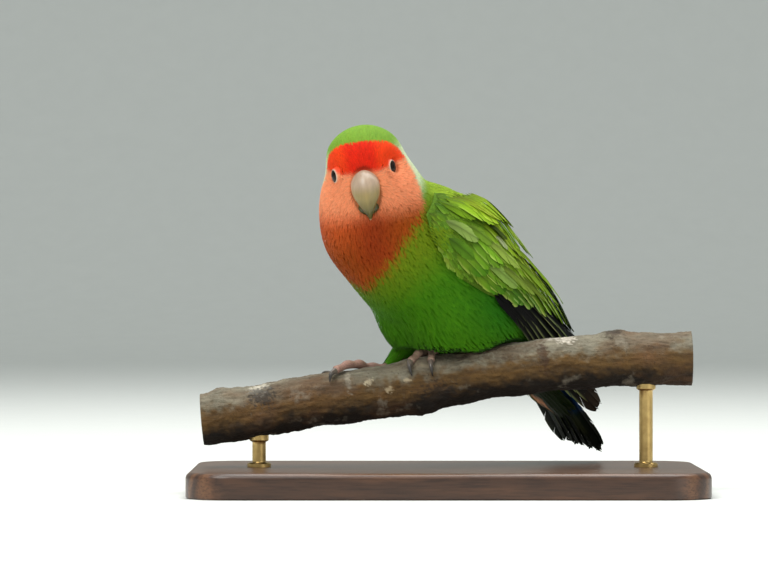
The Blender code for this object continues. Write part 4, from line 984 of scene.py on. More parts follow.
def makeWing(name, s):
    rng = np.random.default_rng(31 if s > 0 else 47)
    low, high = wingPlate(s, wing["inset"])
    rows, columns = low.shape[:2]
    top = gridFaces(rows, columns, False)
    size = rows * columns
    rim = list(range(columns)) + [i * columns + columns - 1 for i in range(1, rows)]
    rim += [(rows - 1) * columns + j for j in reversed(range(columns - 1))]
    rim += [i * columns for i in reversed(range(1, rows - 1))]
    wall = [(i, j, j + size, i + size) for i, j in zip(rim, rim[1:] + rim[:1])]
    points = np.concatenate((high.reshape(-1, 3), low.reshape(-1, 3)))
    m = Nodes("wingDown_" + name)
    down = m.noise(1.4, 4.0)
    m.set(Base_Color=m.ramp(down, [(0.3, vaneColours["lesser"] * 0.45), (0.75, vaneColours["lesser"] * 0.8)]),
          Roughness=0.85, Normal=m.bump(down, 0.2, 0.3), Specular_IOR_Level=0.16)
    faces = np.concatenate((top[:, ::-1] if s > 0 else top, top[:, ::-1] + size, wall))
    plate = addMesh(name + "_skin", points, faces, m.mat)
    work = bmesh.new()
    work.from_mesh(plate.data)
    bmesh.ops.recalc_face_normals(work, faces=work.faces)
    work.to_mesh(plate.data)
    work.free()
    uv = gridMap(rows, columns) * (0.45, 0.9)
    addMap(plate, "OFBake", np.concatenate((uv, uv + (0.5, 0.0))))
    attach(plate, "root")
    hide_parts(name)

    mat = featherMaterial("vanedFeather_" + name, rough=0.6, barbs=0.35, deep=0.12, vary=0.12, sheen=0.0,
                          gloss=0.09)
    shapes = {kind: bladesOf(kind, *rest) for kind, *rest in (("long", 3, 60), ("broad", 4, 70), ("small", 5, 80))}
    for tier, d in wing["tiers"].items():
        count = d["count"]
        share = np.linspace(0.0, 1.0, count)[:, None]
        roots, tips = (low + share * (high - low) for low, high in np.array((d["root"], d["tip"]), float))
        tips = tips + np.stack((rng.uniform(-1.6, 1.6, count), rng.uniform(-1.4, 1.4, count)), axis=-1)
        heights = [[h + d["rise"] * k + rng.uniform(-0.08, 0.08) for h in d["height"]] for k in range(count)]
        roll = d["roll"] + rng.normal(0, 2.2, count)
        centres, sides, outs = feathersOn(np.stack((roots, tips), 1), heights, roll, d["twist"], d["bow"], s)
        kinds = shapes[d["shape"]]
        places = 0.08 + 0.84 * np.stack(((roots[:, 1] - 60) / 100, (28 - roots[:, 0]) / 50), axis=-1)
        layFeathers(f"{name}_{tier}", kinds, rng.integers(0, len(kinds), count), centres, sides, outs,
                    d["half"] * rng.uniform(0.94, 1.06, count), 0.10,
                    wingColour(tier, s, roots[:, 0], roots[:, 1], rng), places, mat)

    ends, count = np.array([f[:2] for f in oddFeathers], float), len(oddFeathers)
    heights = [(f[3] - 1.2, f[3], f[3] + 0.15) for f in oddFeathers]
    centres, sides, outs = feathersOn(ends, heights, -5.0 + rng.normal(0, 3.0, count), 0.0, 0.0, s)
    shades = np.array([paint(*f[4]) for f in oddFeathers])

    def oddColour(use, a, b):
        worn = (0.6 + 0.4 * ramp(a, 0.1, 0.6)) * (0.85 + 0.25 * np.abs(b))
        return shades[use][:, None, :] * (worn * (1.0 - 0.3 * np.exp(-(b / 0.07) ** 2)))[..., None]

    layFeathers(f"{name}_oddFeathers", shapes["broad"], rng.integers(0, 4, count), centres, sides, outs,
                np.array([f[2] for f in oddFeathers]), 0.12, oddColour,
                np.full((count, 2), 0.5) + np.linspace(-0.3, 0.3, count)[:, None], mat)

    roots, places = scatter(wingPlate(s, 0.0)[1], lambda p: np.full(len(p), wing["small"]),
                            lambda p: np.ones(len(p), bool), 90 + s, False)
    a, turn = onSheet(roots, s)
    low, high = wingEdges(a)
    keep = (a > 4) & (turn > low + 1.0) & (turn < high)
    roots, places, a, turn = roots[keep], places[keep], a[keep], turn[keep]
    count = len(roots)
    length = wing["small"] * wing["smallLengths"] * rng.uniform(0.85, 1.2, count)
    drift = -0.35 + 0.7 * np.clip((turn - 78) / 60, 0.0, 1.0) + rng.normal(0.0, 0.16, count)
    tips = np.stack((a - length, turn + drift * length), axis=-1)
    base = np.linalg.norm(roots - (torsoAt + a[:, None] * along), axis=1) - sheetRadius(a, turn, s)
    heights = [(h - 0.7, h + 0.2, h + 0.25 + rng.uniform(0.0, 0.35)) for h in base]
    centres, sides, outs = feathersOn(np.stack((np.stack((a, turn), -1), tips), 1), heights,
                                      rng.normal(-3.0, 3.0, count), 0.0, 0.0, s, 6)
    layFeathers(f"{name}_lesserCoverts", shapes["small"], rng.integers(0, 5, count), centres, sides, outs,
                wing["small"] * wing["smallHalf"] * rng.uniform(0.9, 1.1, count), 0.12,
                wingColour("lesser", s, a, turn, rng), places, mat, soft=0.35)
    print(name, "done")


makeCoat()
makeWing("wing_left", 1)
makeWing("wing_right", -1)


# Tail

tail = {
    "droop": 6.5, "length": 46.5, "step": 1.5, "fan": 8.0, "half": 3.9, "pairs": 6, "spread": 1.3,
    "drop": 0.7, "stump": 15.0,
    "stumpRings": (  # share of the stump's length, then its width and thickness against the skin's end
        (-0.12, 0.93, 0.93), (0.0, 0.93, 0.93), (0.3, 0.86, 0.8), (0.62, 0.68, 0.54), (0.88, 0.5, 0.32),
        (1.0, 0.34, 0.15)),
    "coverts": (  # count, length, lift, spread, half width
        (6, 24.0, 4.4, 5.2, 2.8), (7, 16.0, 6.2, 6.0, 2.6),
        (8, 27.0, -5.0, 6.4, 3.1), (9, 18.0, -6.4, 6.6, 2.8)),
}


def makeTail():
    rng = np.random.default_rng(5)
    droop = math.radians(tail["droop"])
    way = -along * math.cos(droop) - back * math.sin(droop)
    over = -np.cross(way, side)
    start = outline[0]
    middle = start.mean(axis=0)
    local = start - middle
    rings = []
    for t, shrink, flat in tail["stumpRings"]:
        wide, high = np.outer(local @ side, side), np.outer(local @ over, over)
        rings.append(middle + way * tail["stump"] * t + wide * shrink + high * flat)
    points = np.array(rings)
    columns = points.shape[1]
    faces = gridFaces(len(rings), columns)
    last = (len(rings) - 1) * columns
    cap = [(last + columns, last + j, last + j + 1, last + (j + 2) % columns) for j in range(0, columns, 2)]
    points = np.concatenate((points.reshape(-1, 3), rings[-1].mean(axis=0)[None]))
    m = Nodes("tailDown")
    down = m.noise(1.4, 4.0)
    m.set(Base_Color=m.ramp(down, [(0.3, (0.012, 0.03, 0.006)), (0.75, (0.06, 0.13, 0.03))]), Roughness=0.85)
    m.set(Normal=m.bump(down, 0.5, 0.5))
    stump = addMesh("tail_skin", points, np.concatenate((faces, cap)), m.mat)
    addMap(stump, "OFBake", np.concatenate((gridMap(len(rings), columns), ((0.5, 0.99),))))
    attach(stump, "root")
    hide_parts("tail")

    rows = []  # root, length, place across, lean, roll, half width, kind: tail, upper or under covert
    for pair in range(tail["pairs"]):
        for s in (-1, 1):
            place = (pair + (0.35 if pair == 0 else 0.0)) * s
            length = tail["length"] - tail["step"] * pair + rng.uniform(-0.6, 0.6)
            drop = tail["drop"] * (pair + (0.0 if pair or s > 0 else -1.0))
            root = middle + way * 3.0 + side * place * tail["spread"] + over * (1.6 - drop)
            rows.append((root, length, place * 5.0 / 6.0, -0.8, -3.0 if pair else 0.0, tail["half"], 0))
    for k, (count, length, lift, spread, half) in enumerate(tail["coverts"]):
        for i in range(count):
            share = 2.0 * i / (count - 1) - 1.0
            root = middle + way * (3.0 - 2.0 * (k % 2)) + side * share * spread
            root = root + over * lift * (1.25 - 0.2 * share**2)
            long, lean = length - abs(share) * 3.0 + rng.uniform(-0.8, 0.8), 0.62 if length > 20 else 0.4
            rows.append((root, long, share * 2.2, -lift * lean, 0.0, half, 1 if lift > 0 else 2))
    steps = 12
    t = np.linspace(0.0, 1.0, steps)[:, None]
    centres, sides, outs = [], [], []
    for root, length, place, lean, turn, half, kind in rows:
        fan = math.radians(place * tail["fan"] / 5.0)
        line = way * math.cos(fan) + side * math.sin(fan)
        centres.append(root + t * length * line + t * t * over * lean)
        across = unit(np.cross(line, over)) * (1.0 if place < 0 else -1.0)
        tilt = math.radians(turn)
        out = -over if kind == 2 else over * math.cos(tilt) - across * math.sin(tilt)
        sides.append(np.repeat((across * math.cos(tilt) + over * math.sin(tilt))[None], steps, 0))
        outs.append(np.repeat(out[None], steps, 0))
    kind = np.array([r[6] for r in rows])
    placeOf = np.array([r[2] for r in rows])
    v = vaneColours
    hue = 1.0 + rng.normal(0.0, 0.08, len(rows))[:, None, None]

    def colourOf(use, a, b):
        k, place = kind[use][:, None], placeOf[use][:, None]
        base = np.array((v["tail"], v["upperTail"], v["underTail"]))[k] * np.ones(a.shape + (3,))
        teal = ramp(b, -0.2, 0.7) * (1.0 - ramp(a, 0.5, 0.85))
        base = smoothMix(base, v["tailTeal"], (k == 0) * (0.55 * teal))
        rim = ramp(np.abs(b), 0.75, 1.0) * (0.5 + 0.3 * (k > 0)) * (1.0 - 0.5 * ramp(a, 0.8, 1.0))
        base = smoothMix(base, v["tailRim"], rim)
        outer = ((place > 1.4) & (k == 0)) * (1.0 - ramp(np.abs(a - 0.42), 0.14, 0.24))
        base = smoothMix(base, v["blue"], 0.85 * outer)
        base = smoothMix(base, v["tail"], 0.85 * ((k == 2) * ramp(a, 0.15, 0.6)))
        base = smoothMix(base, v["blue"], 0.7 * ((k == 1) * (1.0 - ramp(a, 0.2, 0.8))))
        spotAt, spotReach = np.where(k == 0, 0.42, 0.74), np.where(k == 0, 0.06, 0.12)
        spot = (place < -0.8) * np.exp(-((a - spotAt) / spotReach) ** 2)
        base = smoothMix(base, v["tailSpot"], 0.8 * spot * (k != 1))
        shaft = 1.0 - 0.3 * np.exp(-(b / 0.06) ** 2)
        return np.clip(base * shaft[..., None] * hue[use], 0.003, 1.0)

    shapes = bladesOf("tail", 3, 100) + bladesOf("tailCovert", 3, 110)
    pick = np.where(kind == 0, rng.integers(0, 3, len(rows)), rng.integers(3, 6, len(rows)))
    places = np.array([(0.1 + 0.8 * i / len(rows), 0.2 + 0.6 * k / 2) for i, k in enumerate(kind)])
    mat = featherMaterial("tailFeather", rough=0.6, barbs=0.3, deep=0.12, vary=0.10, sheen=0.0, gloss=0.06)
    layFeathers("tail_feathers", shapes, pick, np.array(centres), np.array(sides), np.array(outs),
                np.array([r[5] for r in rows]), 0.07, colourOf, places, mat)
    print("tail")


makeTail()


# Eyes, lids and bill

def spun(profile, axes, centre, count):
    # turns a profile of (radius, height) round the third axis
    turns = np.arange(count) * (2.0 * math.pi / count)
    ring = np.cos(turns)[:, None] * axes[0] + np.sin(turns)[:, None] * axes[1]
    return np.array([centre + axes[2] * h + ring * r for r, h in profile])


def makeEyes():
    m = Nodes("eyeGloss")
    m.set(Base_Color=m.tint(), Roughness=0.08, IOR=1.28)
    ball = m.mat
    m = Nodes("lidSkin")
    grain = m.noise(3.0, 3.0)
    shade = m.ramp(grain, [(0.3, (0.78, 0.76, 0.74)), (0.7, (1.0, 1.0, 1.0))])
    m.set(Base_Color=m.mix(1.0, m.tint(), shade, "MULTIPLY"))
    m.set(Roughness=0.6, Normal=m.bump(grain, 0.4, 0.15), Specular_IOR_Level=0.25)
    lid = m.mat
    r, inner, around, lidAround = eye["radius"], eye["ring"][0], 48, 72
    shares = np.linspace(0.0, 1.0, 12)
    for name, s in (("eye_left", 1), ("eye_right", -1)):
        axes, centre = eyeAxes(s), eyeAt(s)
        polar = np.linspace(0.0, math.pi, 41)[1:-1]
        rings = spun([(r * math.sin(p), r * math.cos(p)) for p in polar], axes, centre, around)
        points = np.concatenate((rings.reshape(-1, 3), (centre + axes[2] * r, centre - axes[2] * r)))
        last, top = (len(rings) - 1) * around, len(points) - 2
        caps = [(top, j, j + 1, (j + 2) % around) for j in range(0, around, 2)]
        caps += [(top + 1, last + (j + 2) % around, last + j + 1, last + j) for j in range(0, around, 2)]
        faces = np.concatenate((gridFaces(len(rings), around), caps))
        obj = addMesh(name + "_ball", points, faces[:, ::-1], ball)
        off = np.degrees(np.arccos(np.clip((points - centre) @ axes[2] / r, -1, 1)))
        iris = smoothMix(paint(10, 8, 7), paint(30, 18, 10), ramp(off, 17, 20))
        addTint(obj, smoothMix(iris, paint(10, 7, 6), ramp(off, 30, 34)))
        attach(obj, "root")
        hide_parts(name)
        turns, profile = np.arange(lidAround) * (2.0 * math.pi / lidAround), []
        for t in shares:  # from the rim of the opening out under the feathers
            out = inner + (r + 0.12 - inner) * t ** 1.4
            thick = eye["over"] * math.sin(math.pi * min(1.0, 0.12 + 0.8 * t)) + 0.06
            profile.append((out, math.sqrt(max(r * r - out * out, 0.0)) + thick - 0.8 * ramp(t, 0.85, 1.0)))
        rings = spun(profile, axes, centre, lidAround)
        beads = 0.09 * (np.cos(turns * 24) * 0.6 + np.cos(turns * 17 + 1.0) * 0.4)
        rings = rings + (beads[None, :] * np.sin(shares * math.pi)[:, None])[..., None] * axes[2]
        points = rings.reshape(-1, 3)
        obj = addMesh(name + "_lids", points, gridFaces(len(shares), lidAround)[:, ::-1], lid)
        plumed = np.repeat(ramp(shares, 0.15, 0.40), lidAround)  # bare skin only along the rim
        addTint(obj, smoothMix(paint(206, 190, 170), markings(points), plumed))
        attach(obj, "root")
    print("eyes")


bill = {
    "upper": (  # ahead, up, half width, half depth
        (10.4, -2.4, 3.5, 3.8), (12.8, -1.9, 4.6, 4.5), (15.0, -2.5, 5.0, 4.4), (16.9, -4.2, 4.9, 3.9),
        (18.2, -6.3, 4.3, 3.2), (18.9, -8.4, 3.2, 2.6), (19.1, -10.4, 2.1, 1.9), (18.9, -12.2, 1.2, 1.25),
        (18.5, -13.5, 0.65, 0.7), (18.1, -14.3, 0.22, 0.25)),
    "lower": ((8.5, -8.2, 3.4, 2.8), (11, -8.9, 4.6, 3.3), (14, -10.2, 4.3, 2.9), (15.9, -10.9, 3.5, 2.3),
              (16.8, -11.2, 2.6, 1.8), (17.2, -11.3, 1.6, 1.2)),
    "upperGrid": (60, 56), "lowerGrid": (30, 40), "pinch": 0.22,
    "cere": (11.2, 0.0, 0.6, 2.2, 4.1, 2.0),  # ahead, left, up, then the half sizes
    "nostril": (13.1, 2.2, 1.9), "pit": (0.9, 0.62), "pitRim": (0.22, 0.95, 0.3),
}


def smoothRow(rows, count):
    # a smooth curve of so many rows through the given ones
    rows = np.asarray(rows, float)
    steps = np.linspace(0.0, len(rows) - 1, count)
    low = np.minimum(steps.astype(int), len(rows) - 2)
    t = (steps - low)[:, None]
    a, b = rows[np.maximum(low - 1, 0)], rows[low]
    c, d = rows[low + 1], rows[np.minimum(low + 2, len(rows) - 1)]
    return through(a, b, c, d, t)


def billRings(stations, count, around, pinch):
    # rings across the line of the bill, pinched towards its ridge
    row = smoothRow(stations, count)
    line = np.stack((row[:, 0], row[:, 1]), -1)
    ways = unit(np.gradient(line, axis=0))
    normal = np.stack((-ways[:, 1], ways[:, 0]), -1)
    turns = np.arange(around) * (2.0 * math.pi / around)
    rings = []
    for (f, u), (nf, nu), (wide, deep) in zip(line, normal, np.maximum(row[:, 2:], 0.12)):
        out = np.sin(turns)
        slim = 1.0 - pinch * np.maximum(out, 0.0) ** 2 - 0.05 * np.maximum(-out, 0.0)
        ring = headAt + np.outer(f + nf * out * deep, ahead) + np.outer(u + nu * out * deep, headUp)
        rings.append(ring + np.outer(np.cos(turns) * wide * slim, headLeft))
    return np.array(rings)


def closeRings(rings):
    rows, columns = rings.shape[:2]
    points = np.concatenate((rings.reshape(-1, 3), rings[0].mean(0)[None], rings[-1].mean(0)[None]))
    last, top = (rows - 1) * columns, rows * columns
    caps = []
    for j in range(0, columns, 2):
        k, n = (j + 1) % columns, (j + 2) % columns
        caps += [(top, n, k, j), (top + 1, last + j, last + k, last + n)]
    return points, np.concatenate((gridFaces(rows, columns), caps))


def makeBill():
    m = Nodes("billHorn")
    tint = m.tint()
    streak = m.noise(0.55, 4.0, stretch=(1.0, 1.0, 0.25))
    grain = m.noise(1.8, 4.0)
    shade = m.ramp(streak, [(0.3, (0.82, 0.82, 0.80)), (0.7, (1.06, 1.05, 1.02))])
    m.set(Base_Color=m.mix(1.0, tint, shade, "MULTIPLY"), Roughness=m.math("MULTIPLY_ADD", grain, 0.22, 0.24))
    m.set(Normal=m.bump(streak, 0.18, 0.25, m.bump(grain, 0.10, 0.08)), Coat_Weight=0.25, Coat_Roughness=0.3)
    m.set(Subsurface_Weight=0.12, Subsurface_Radius=(0.9 * mm, 0.6 * mm, 0.4 * mm))
    horn = m.mat

    rows, around = bill["upperGrid"]
    points, faces = closeRings(billRings(bill["upper"], rows, around, bill["pinch"]))
    upper = addMesh("bill_upper_horn", points, faces, horn)
    turns = np.concatenate((np.tile(np.arange(around) * (2 * math.pi / around), rows), (0.0, 0.0)))
    edge, low = np.abs(np.cos(turns)), -inHead(points)[:, 2]
    # the upper bill darkens downwards and at its sides, from pinkish grey through olive to green-black near the tip:
    # partly the horn's own colour, partly painted shade on its underside
    colour = smoothMix(paint(174, 151, 131), paint(150, 131, 80), ramp(low, 1.0, 6.0))
    colour = smoothMix(colour, paint(110, 96, 28), ramp(low, 5.5, 9.5) * (0.6 + 0.4 * edge))
    colour = smoothMix(colour, paint(48, 60, 14), ramp(low, 8.5, 12.5) * (0.5 + 0.5 * edge))
    colour = smoothMix(colour, paint(200, 194, 156), ramp(low, 13.6, 14.3) * 0.8)
    addTint(upper, colour)

    rows, around = bill["lowerGrid"]
    points, faces = closeRings(billRings(bill["lower"], rows, around, 0.0))
    lower = addMesh("bill_lower_horn", points, faces, horn)
    t = np.concatenate((np.repeat(np.linspace(0, 1, rows), around), (0.0, 1.0)))
    addTint(lower, smoothMix(paint(104, 96, 44), paint(56, 62, 20), ramp(t, 0.35, 0.9)))

    f, l, u, *half = bill["cere"]
    work = bmesh.new()
    place = Matrix(np.column_stack((ahead * half[0], headLeft * half[1], headUp * half[2])).tolist()).to_4x4()
    place.translation = Vector(headPoint(f, l, u))
    bmesh.ops.create_uvsphere(work, u_segments=48, v_segments=28, radius=1.0, matrix=place)
    for s in (1, -1):  # two round nostrils sunk into the cere
        f, l, u = bill["nostril"]
        pit = Vector(headPoint(f, l * s, u))
        (deep, wide), (high, at, reach) = bill["pit"], bill["pitRim"]
        for vert in work.verts:
            near = (vert.co - pit).length
            vert.co -= Vector(ahead) * deep * math.exp(-(near / wide) ** 4)
            vert.co += Vector(ahead) * high * math.exp(-((near - at) / reach) ** 2)
    bmesh.ops.recalc_face_normals(work, faces=work.faces)
    bmesh.ops.scale(work, vec=(mm, mm, mm), verts=work.verts)
    mesh = bpy.data.meshes.new("bill_cere")
    work.to_mesh(mesh)
    work.free()
    mesh.shade_smooth()
    cere = bpy.data.objects.new("bill_cere", mesh)
    made.objects.link(cere)
    m = Nodes("cereSkin")
    grain = m.noise(2.6, 3.0)
    m.set(Base_Color=m.ramp(grain, [(0.3, paint(196, 150, 128)), (0.7, paint(226, 188, 164))]))
    m.set(Roughness=0.6, Normal=m.bump(grain, 0.35, 0.12))
    mesh.materials.append(m.mat)
    for obj, node in ((upper, "bill_upper"), (lower, "bill_lower"), (cere, None)):
        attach(obj, "root")
        if node:
            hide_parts(node)
    print("bill")


makeEyes()
makeBill()


# Feet and claws

feet = {
    "places": {"right": (-19.0, -46.0), "left": (-1.0, -26.0)},
    "hips": {"right": (-14.0, -9.0, -14.0), "left": (-15.0, 9.0, -12.0)},
    "toes": {  # places on the bark as (x, degrees from the top to the camera); the last is the claw's tip
        "right": {"toe_2": ((-30, -52), (-38.5, -40), (-43, -26)),
                  "toe_3": ((-26, -38), (-30.5, -13), (-34.5, 8), (-37.6, 26), (-40.2, 52)),
                  "toe_4": ((-10, -98), (-7.5, -126)), "toe_1": ((-20, -104), (-21.5, -134))},
        "left": {"toe_2": ((-3, 8), (-4.2, 42), (-4.6, 74)), "toe_3": ((-7, 4), (-11, 34), (-11.6, 66)),
                 "toe_4": ((8.5, -84), (11, -114)), "toe_1": ((-3, -92), (-4.5, -122))}},
    "radii": {"toe_1": (1.5, 1.05), "toe_2": (1.6, 1.15), "toe_3": (1.75, 1.3), "toe_4": (1.65, 1.15)},
    "clear": 0.4, "tarsus": 1.9, "scute": 1.15, "steps": 46,
    # the left foot's colour is darker than the right's: painted shade on the left foot
    "colour": {"right": (190, 144, 128), "left": (158, 126, 108)},
}


def tubeRings(path, radii, around, turnFrom=(0.0, 1.0, 0.3)):
    path = np.asarray(path, float)
    ways = unit(np.gradient(path, axis=0))
    side = np.cross(ways[0], turnFrom)
    turns = np.arange(around) * (2.0 * math.pi / around)
    rings, over = [], []
    for place, way, radius in zip(path, ways, radii):
        side = unit(side - way * dot(side, way))
        ring = np.cos(turns)[:, None] * side + np.sin(turns)[:, None] * np.cross(way, side)
        rings.append(place + ring * radius)
        over.append(ring)
    return np.array(rings), np.array(over)


def joinParts(parts):
    points, faces, base = [], [], 0
    for p, f in parts:
        points.append(p)
        faces.append(f + base)
        base += len(p)
    return np.concatenate(points), np.concatenate(faces)


def makeFeet():
    m = Nodes("footSkin")
    tint = m.tint()
    cells = m.add("ShaderNodeTexVoronoi", {"Scale": 1900.0}, feature="DISTANCE_TO_EDGE")
    m.put(cells.inputs["Vector"], m.add("ShaderNodeTexCoord").outputs["Object"])
    plates = m.ramp(cells.outputs["Distance"], [(0.0, (0.62, 0.60, 0.60)), (0.12, (1.0, 1.0, 1.0))])
    grain = m.noise(1.2, 4.0)
    worn = m.mix(m.math("MULTIPLY", grain, 0.5), tint, (0.24, 0.17, 0.14))
    m.set(Base_Color=m.mix(1.0, worn, plates, "MULTIPLY"))
    m.set(Roughness=0.58, Normal=m.bump(plates, 0.5, 0.12, m.bump(grain, 0.3, 0.2)))
    skinMat = m.mat
    m = Nodes("clawHorn")
    tint = m.tint()
    grain = m.noise(1.1, 4.0, stretch=(1.0, 1.0, 0.3))
    shade = m.ramp(grain, [(0.3, (0.7, 0.7, 0.7)), (0.7, (1.2, 1.2, 1.15))])
    m.set(Base_Color=m.mix(1.0, tint, shade, "MULTIPLY"))
    m.set(Roughness=0.32, Coat_Weight=0.3, Normal=m.bump(grain, 0.2, 0.1))
    hornMat, steps = m.mat, feet["steps"]
    for name, foot in feet["places"].items():
        ankle = onBranch(*foot, feet["tarsus"] + 0.5)
        hip = torsoPoint(*feet["hips"][name])
        parts, shades = [], []
        lengths = np.linspace(0.0, 0.62, 26)
        path = ankle + (hip - ankle) * lengths[:, None]
        radii = 1.95 + 1.2 * lengths + 0.08 * np.cos(lengths * 60)
        rings, _ = tubeRings(path, radii, 24)
        parts.append(closeRings(rings))
        shades.append(np.full(len(parts[-1][0]), 0.8))
        for toe, places in feet["toes"][name].items():
            thick, thin = feet["radii"][toe]
            spots = np.array((foot,) + places[:-1], float)
            gaps = np.hypot(*(np.diff(spots * (1.0, math.radians(10.8)), axis=0).T))
            reach = np.concatenate(((0.0,), np.cumsum(gaps)))
            even = np.linspace(0, reach[-1], 7)
            curve = smoothRow(np.stack([np.interp(even, reach, spots[:, k]) for k in (0, 1)], -1), steps)
            t = np.linspace(0.0, reach[-1], steps) / reach[-1]
            joints = max(2, round(reach[-1] / 5.5))
            pads = 1.0 + 0.10 * np.cos(t * math.pi * 2.0 * joints)
            radii = (thick + (thin - thick) * t) * pads
            path = onBranch(curve[:, 0], curve[:, 1], radii + feet["clear"])
            tipWay = unit(path[-1] - path[-2])
            path = np.concatenate((path, path[-1] + tipWay * thin * np.array((0.35, 0.6, 0.72))[:, None]))
            radii = np.concatenate((radii, thin * np.array((0.85, 0.5, 0.15))))
            rings, over = tubeRings(path, radii, 24)
            turn = np.interp(np.arange(len(path)), np.arange(steps), curve[:, 1])
            rise = path - onBranch(path[:, 0], turn, 0.0)
            up = dot(over, unit(rise)[:, None, :])  # scutes stand on the upper side of the toe
            place = np.concatenate(((0.0,), np.cumsum(np.linalg.norm(np.diff(path, axis=0), axis=1))))
            saw = (place / feet["scute"]) % 1.0
            rings = rings + over * (np.clip(up, 0, 1) * (0.10 * saw - 0.03)[:, None])[..., None]
            parts.append(closeRings(rings))
            # painted light and shade: each toe is painted lighter on its upper side and on the raised back of each
            # scute, darker below
            shade = 0.72 + 0.42 * saw[:, None] * np.clip(up, 0, 1) + 0.12 * np.clip(up, 0, 1)
            shades.append(np.concatenate((shade.ravel(), (0.8, 0.8))))
        points, faces = joinParts(parts)
        obj = addMesh(f"foot_{name}", points, faces, skinMat)
        shade = np.concatenate(shades)[:, None]
        addTint(obj, np.clip(paint(*feet["colour"][name]) * shade, 0.0, 1.0))
        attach(obj, "root")
        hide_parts(f"leg_{name}")
        for toe, places in feet["toes"][name].items():
            thin = feet["radii"][toe][1]
            before, root, point = ((foot,) + places)[-3:]
            way = unit(onBranch(*root, thin) - onBranch(*before, thin))
            first = onBranch(*root, thin + 0.4) + way * thin * 0.35
            last = onBranch(*point, 0.5)
            away = unit(onBranch(*root, 1.0) - onBranch(*root, 0.0))
            t = np.linspace(0.0, 1.0, 22)[:, None]
            path = first + (last - first) * t + (way * 0.8 + away * 0.9) * np.sin(math.pi * t)
            radii = (thin * 0.80 * (1.0 - t[:, 0]) ** 0.8 + 0.10)
            rings, over = tubeRings(path, radii, 16)
            points, faces = closeRings(rings)
            claw = addMesh(f"claw_{name}_{toe}_horn", points, faces, hornMat)
            t = np.concatenate((np.repeat(t[:, 0], 16), (0.0, 1.0)))
            addTint(claw, smoothMix(paint(112, 100, 92), paint(44, 40, 38), ramp(t, 0.1, 0.7)))
            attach(claw, "root")
            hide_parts(f"claw_{name}_{toe}")
    print("feet and claws")


thigh = {"feathers": 330, "radius": (6.6, 2.5), "reach": (0.12, 0.80), "length": 5.4, "half": 0.62}


def makeThighs():
    # short feathers down each leg, over the upper end of the foot
    rng = np.random.default_rng(13)
    shapes = bladesOf("breast", 5, 30)
    mat = featherMaterial("thighFeather")
    for name, foot in feet["places"].items():
        hip, ankle = torsoPoint(*feet["hips"][name]), onBranch(*foot, feet["tarsus"] + 0.5)
        way = unit(ankle - hip)
        far = np.linalg.norm(ankle - hip)
        first = unit(np.cross(way, (0.0, 1.0, 0.2)))
        second = np.cross(way, first)
        count = thigh["feathers"]
        t, turn = rng.uniform(*thigh["reach"], count), rng.uniform(0, 2 * math.pi, count)
        length = thigh["length"] * rng.uniform(0.8, 1.2, count)
        outs = np.cos(turn)[:, None] * first + np.sin(turn)[:, None] * second
        centres = []
        for k in range(6):
            at = t + k / 5.0 * length / far
            radius = np.interp(at, (0.0, 1.0), thigh["radius"]) - 0.6 * (1.0 - k / 5.0) ** 1.6
            point = hip + way * (at * far)[:, None] + outs * radius[:, None]
            low = np.maximum(0.5 - offBranch(point), 0.0)
            axis = np.stack((point[:, 0], point[:, 1] * 0.0, branchHeight(point[:, 0])), -1)
            centres.append(point + unit(point - axis) * low[:, None])
        centres = np.stack(centres, axis=1)
        faced = np.repeat(outs[:, None, :], 6, axis=1)
        sides = unit(np.cross(faced, unit(np.gradient(centres, axis=1))))
        colours = markings(centres[:, 0]) * rng.uniform(0.85, 1.1, count)[:, None]
        places = np.stack((turn / (2 * math.pi), t), -1)

        def colourOf(use, a, b, colours=colours):
            return colours[use][:, None, :] * (0.8 + 0.2 * ramp(a, 0.1, 0.7))[..., None]

        layFeathers(f"thigh_{name}_coat", shapes, rng.integers(0, 5, count), centres, sides, faced,
                    np.full(count, thigh["half"]), 0.08, colourOf, places, mat, soft=0.8)


makeFeet()
makeThighs()


# Perch

bark = {"rows": 420, "around": 132, "fine": 0.30, "coarse": 0.40,
        "swells": ((-8.5, 28, 6.5, 1.5),),  # the bark swells under the left foot
        "sawn": ((0.97, 0.0), (0.9, 0.02), (0.6, 0.03), (0.3, 0.02), (0.04, 0.0))}  # rings of a cut end
barkMarks = (  # x, degrees from the top towards the camera, reach along and round, colour, strength
    (-64.5, 30, 3.6, 22, (196, 190, 176), 0.9), (-64.0, 55, 4.5, 26, (52, 46, 42), 0.8),
    (42.5, 12, 3.2, 26, (206, 198, 186), 0.85), (37.5, 8, 2.2, 16, (190, 184, 172), 0.6),
    (34.0, 62, 1.8, 40, (64, 38, 20), 0.7), (10.5, 6, 1.6, 7, (196, 130, 62), 0.9),
    (13.6, 4, 0.9, 5, (214, 176, 96), 0.8),
    (-27.0, 62, 1.6, 7, (206, 192, 164), 0.8), (-20.0, 85, 1.6, 7, (190, 172, 140), 0.7),
    (-13.5, 72, 1.0, 6, (186, 170, 142), 0.7),
    (-34.0, 48, 1.1, 26, (176, 168, 152), 0.6), (59.0, 20, 3.4, 14, (66, 52, 40), 0.7),
    (-40, 62, 7, 16, (78, 58, 40), 0.5),
    (22, 48, 9, 20, (84, 62, 42), 0.5), (-4, 120, 6, 30, (30, 22, 16), 0.7),
)


def knotBump(x, turn):
    bump, dark = 0.0, 0.0
    for knotX, knotTurn, radius, height in branch["knots"]:
        away = (turn - knotTurn + 180.0) % 360.0 - 180.0
        far = np.hypot(x - knotX, np.radians(away) * branch["radius"]) / radius
        bump = bump + height * np.exp(-far * far * 1.6) - 0.5 * height * np.exp(-(far / 0.35) ** 2)
        dark = dark + np.exp(-((far - 0.2) / 0.35) ** 2)
    return bump, np.clip(dark, 0.0, 1.0)


def noiseOf(points, scale, octaves=3, seed=0.0):
    value = np.zeros(len(points))
    for i, p in enumerate(points * scale + seed):
        value[i] = noise.fractal(Vector(p), 0.6, 2.0, octaves)
    return value


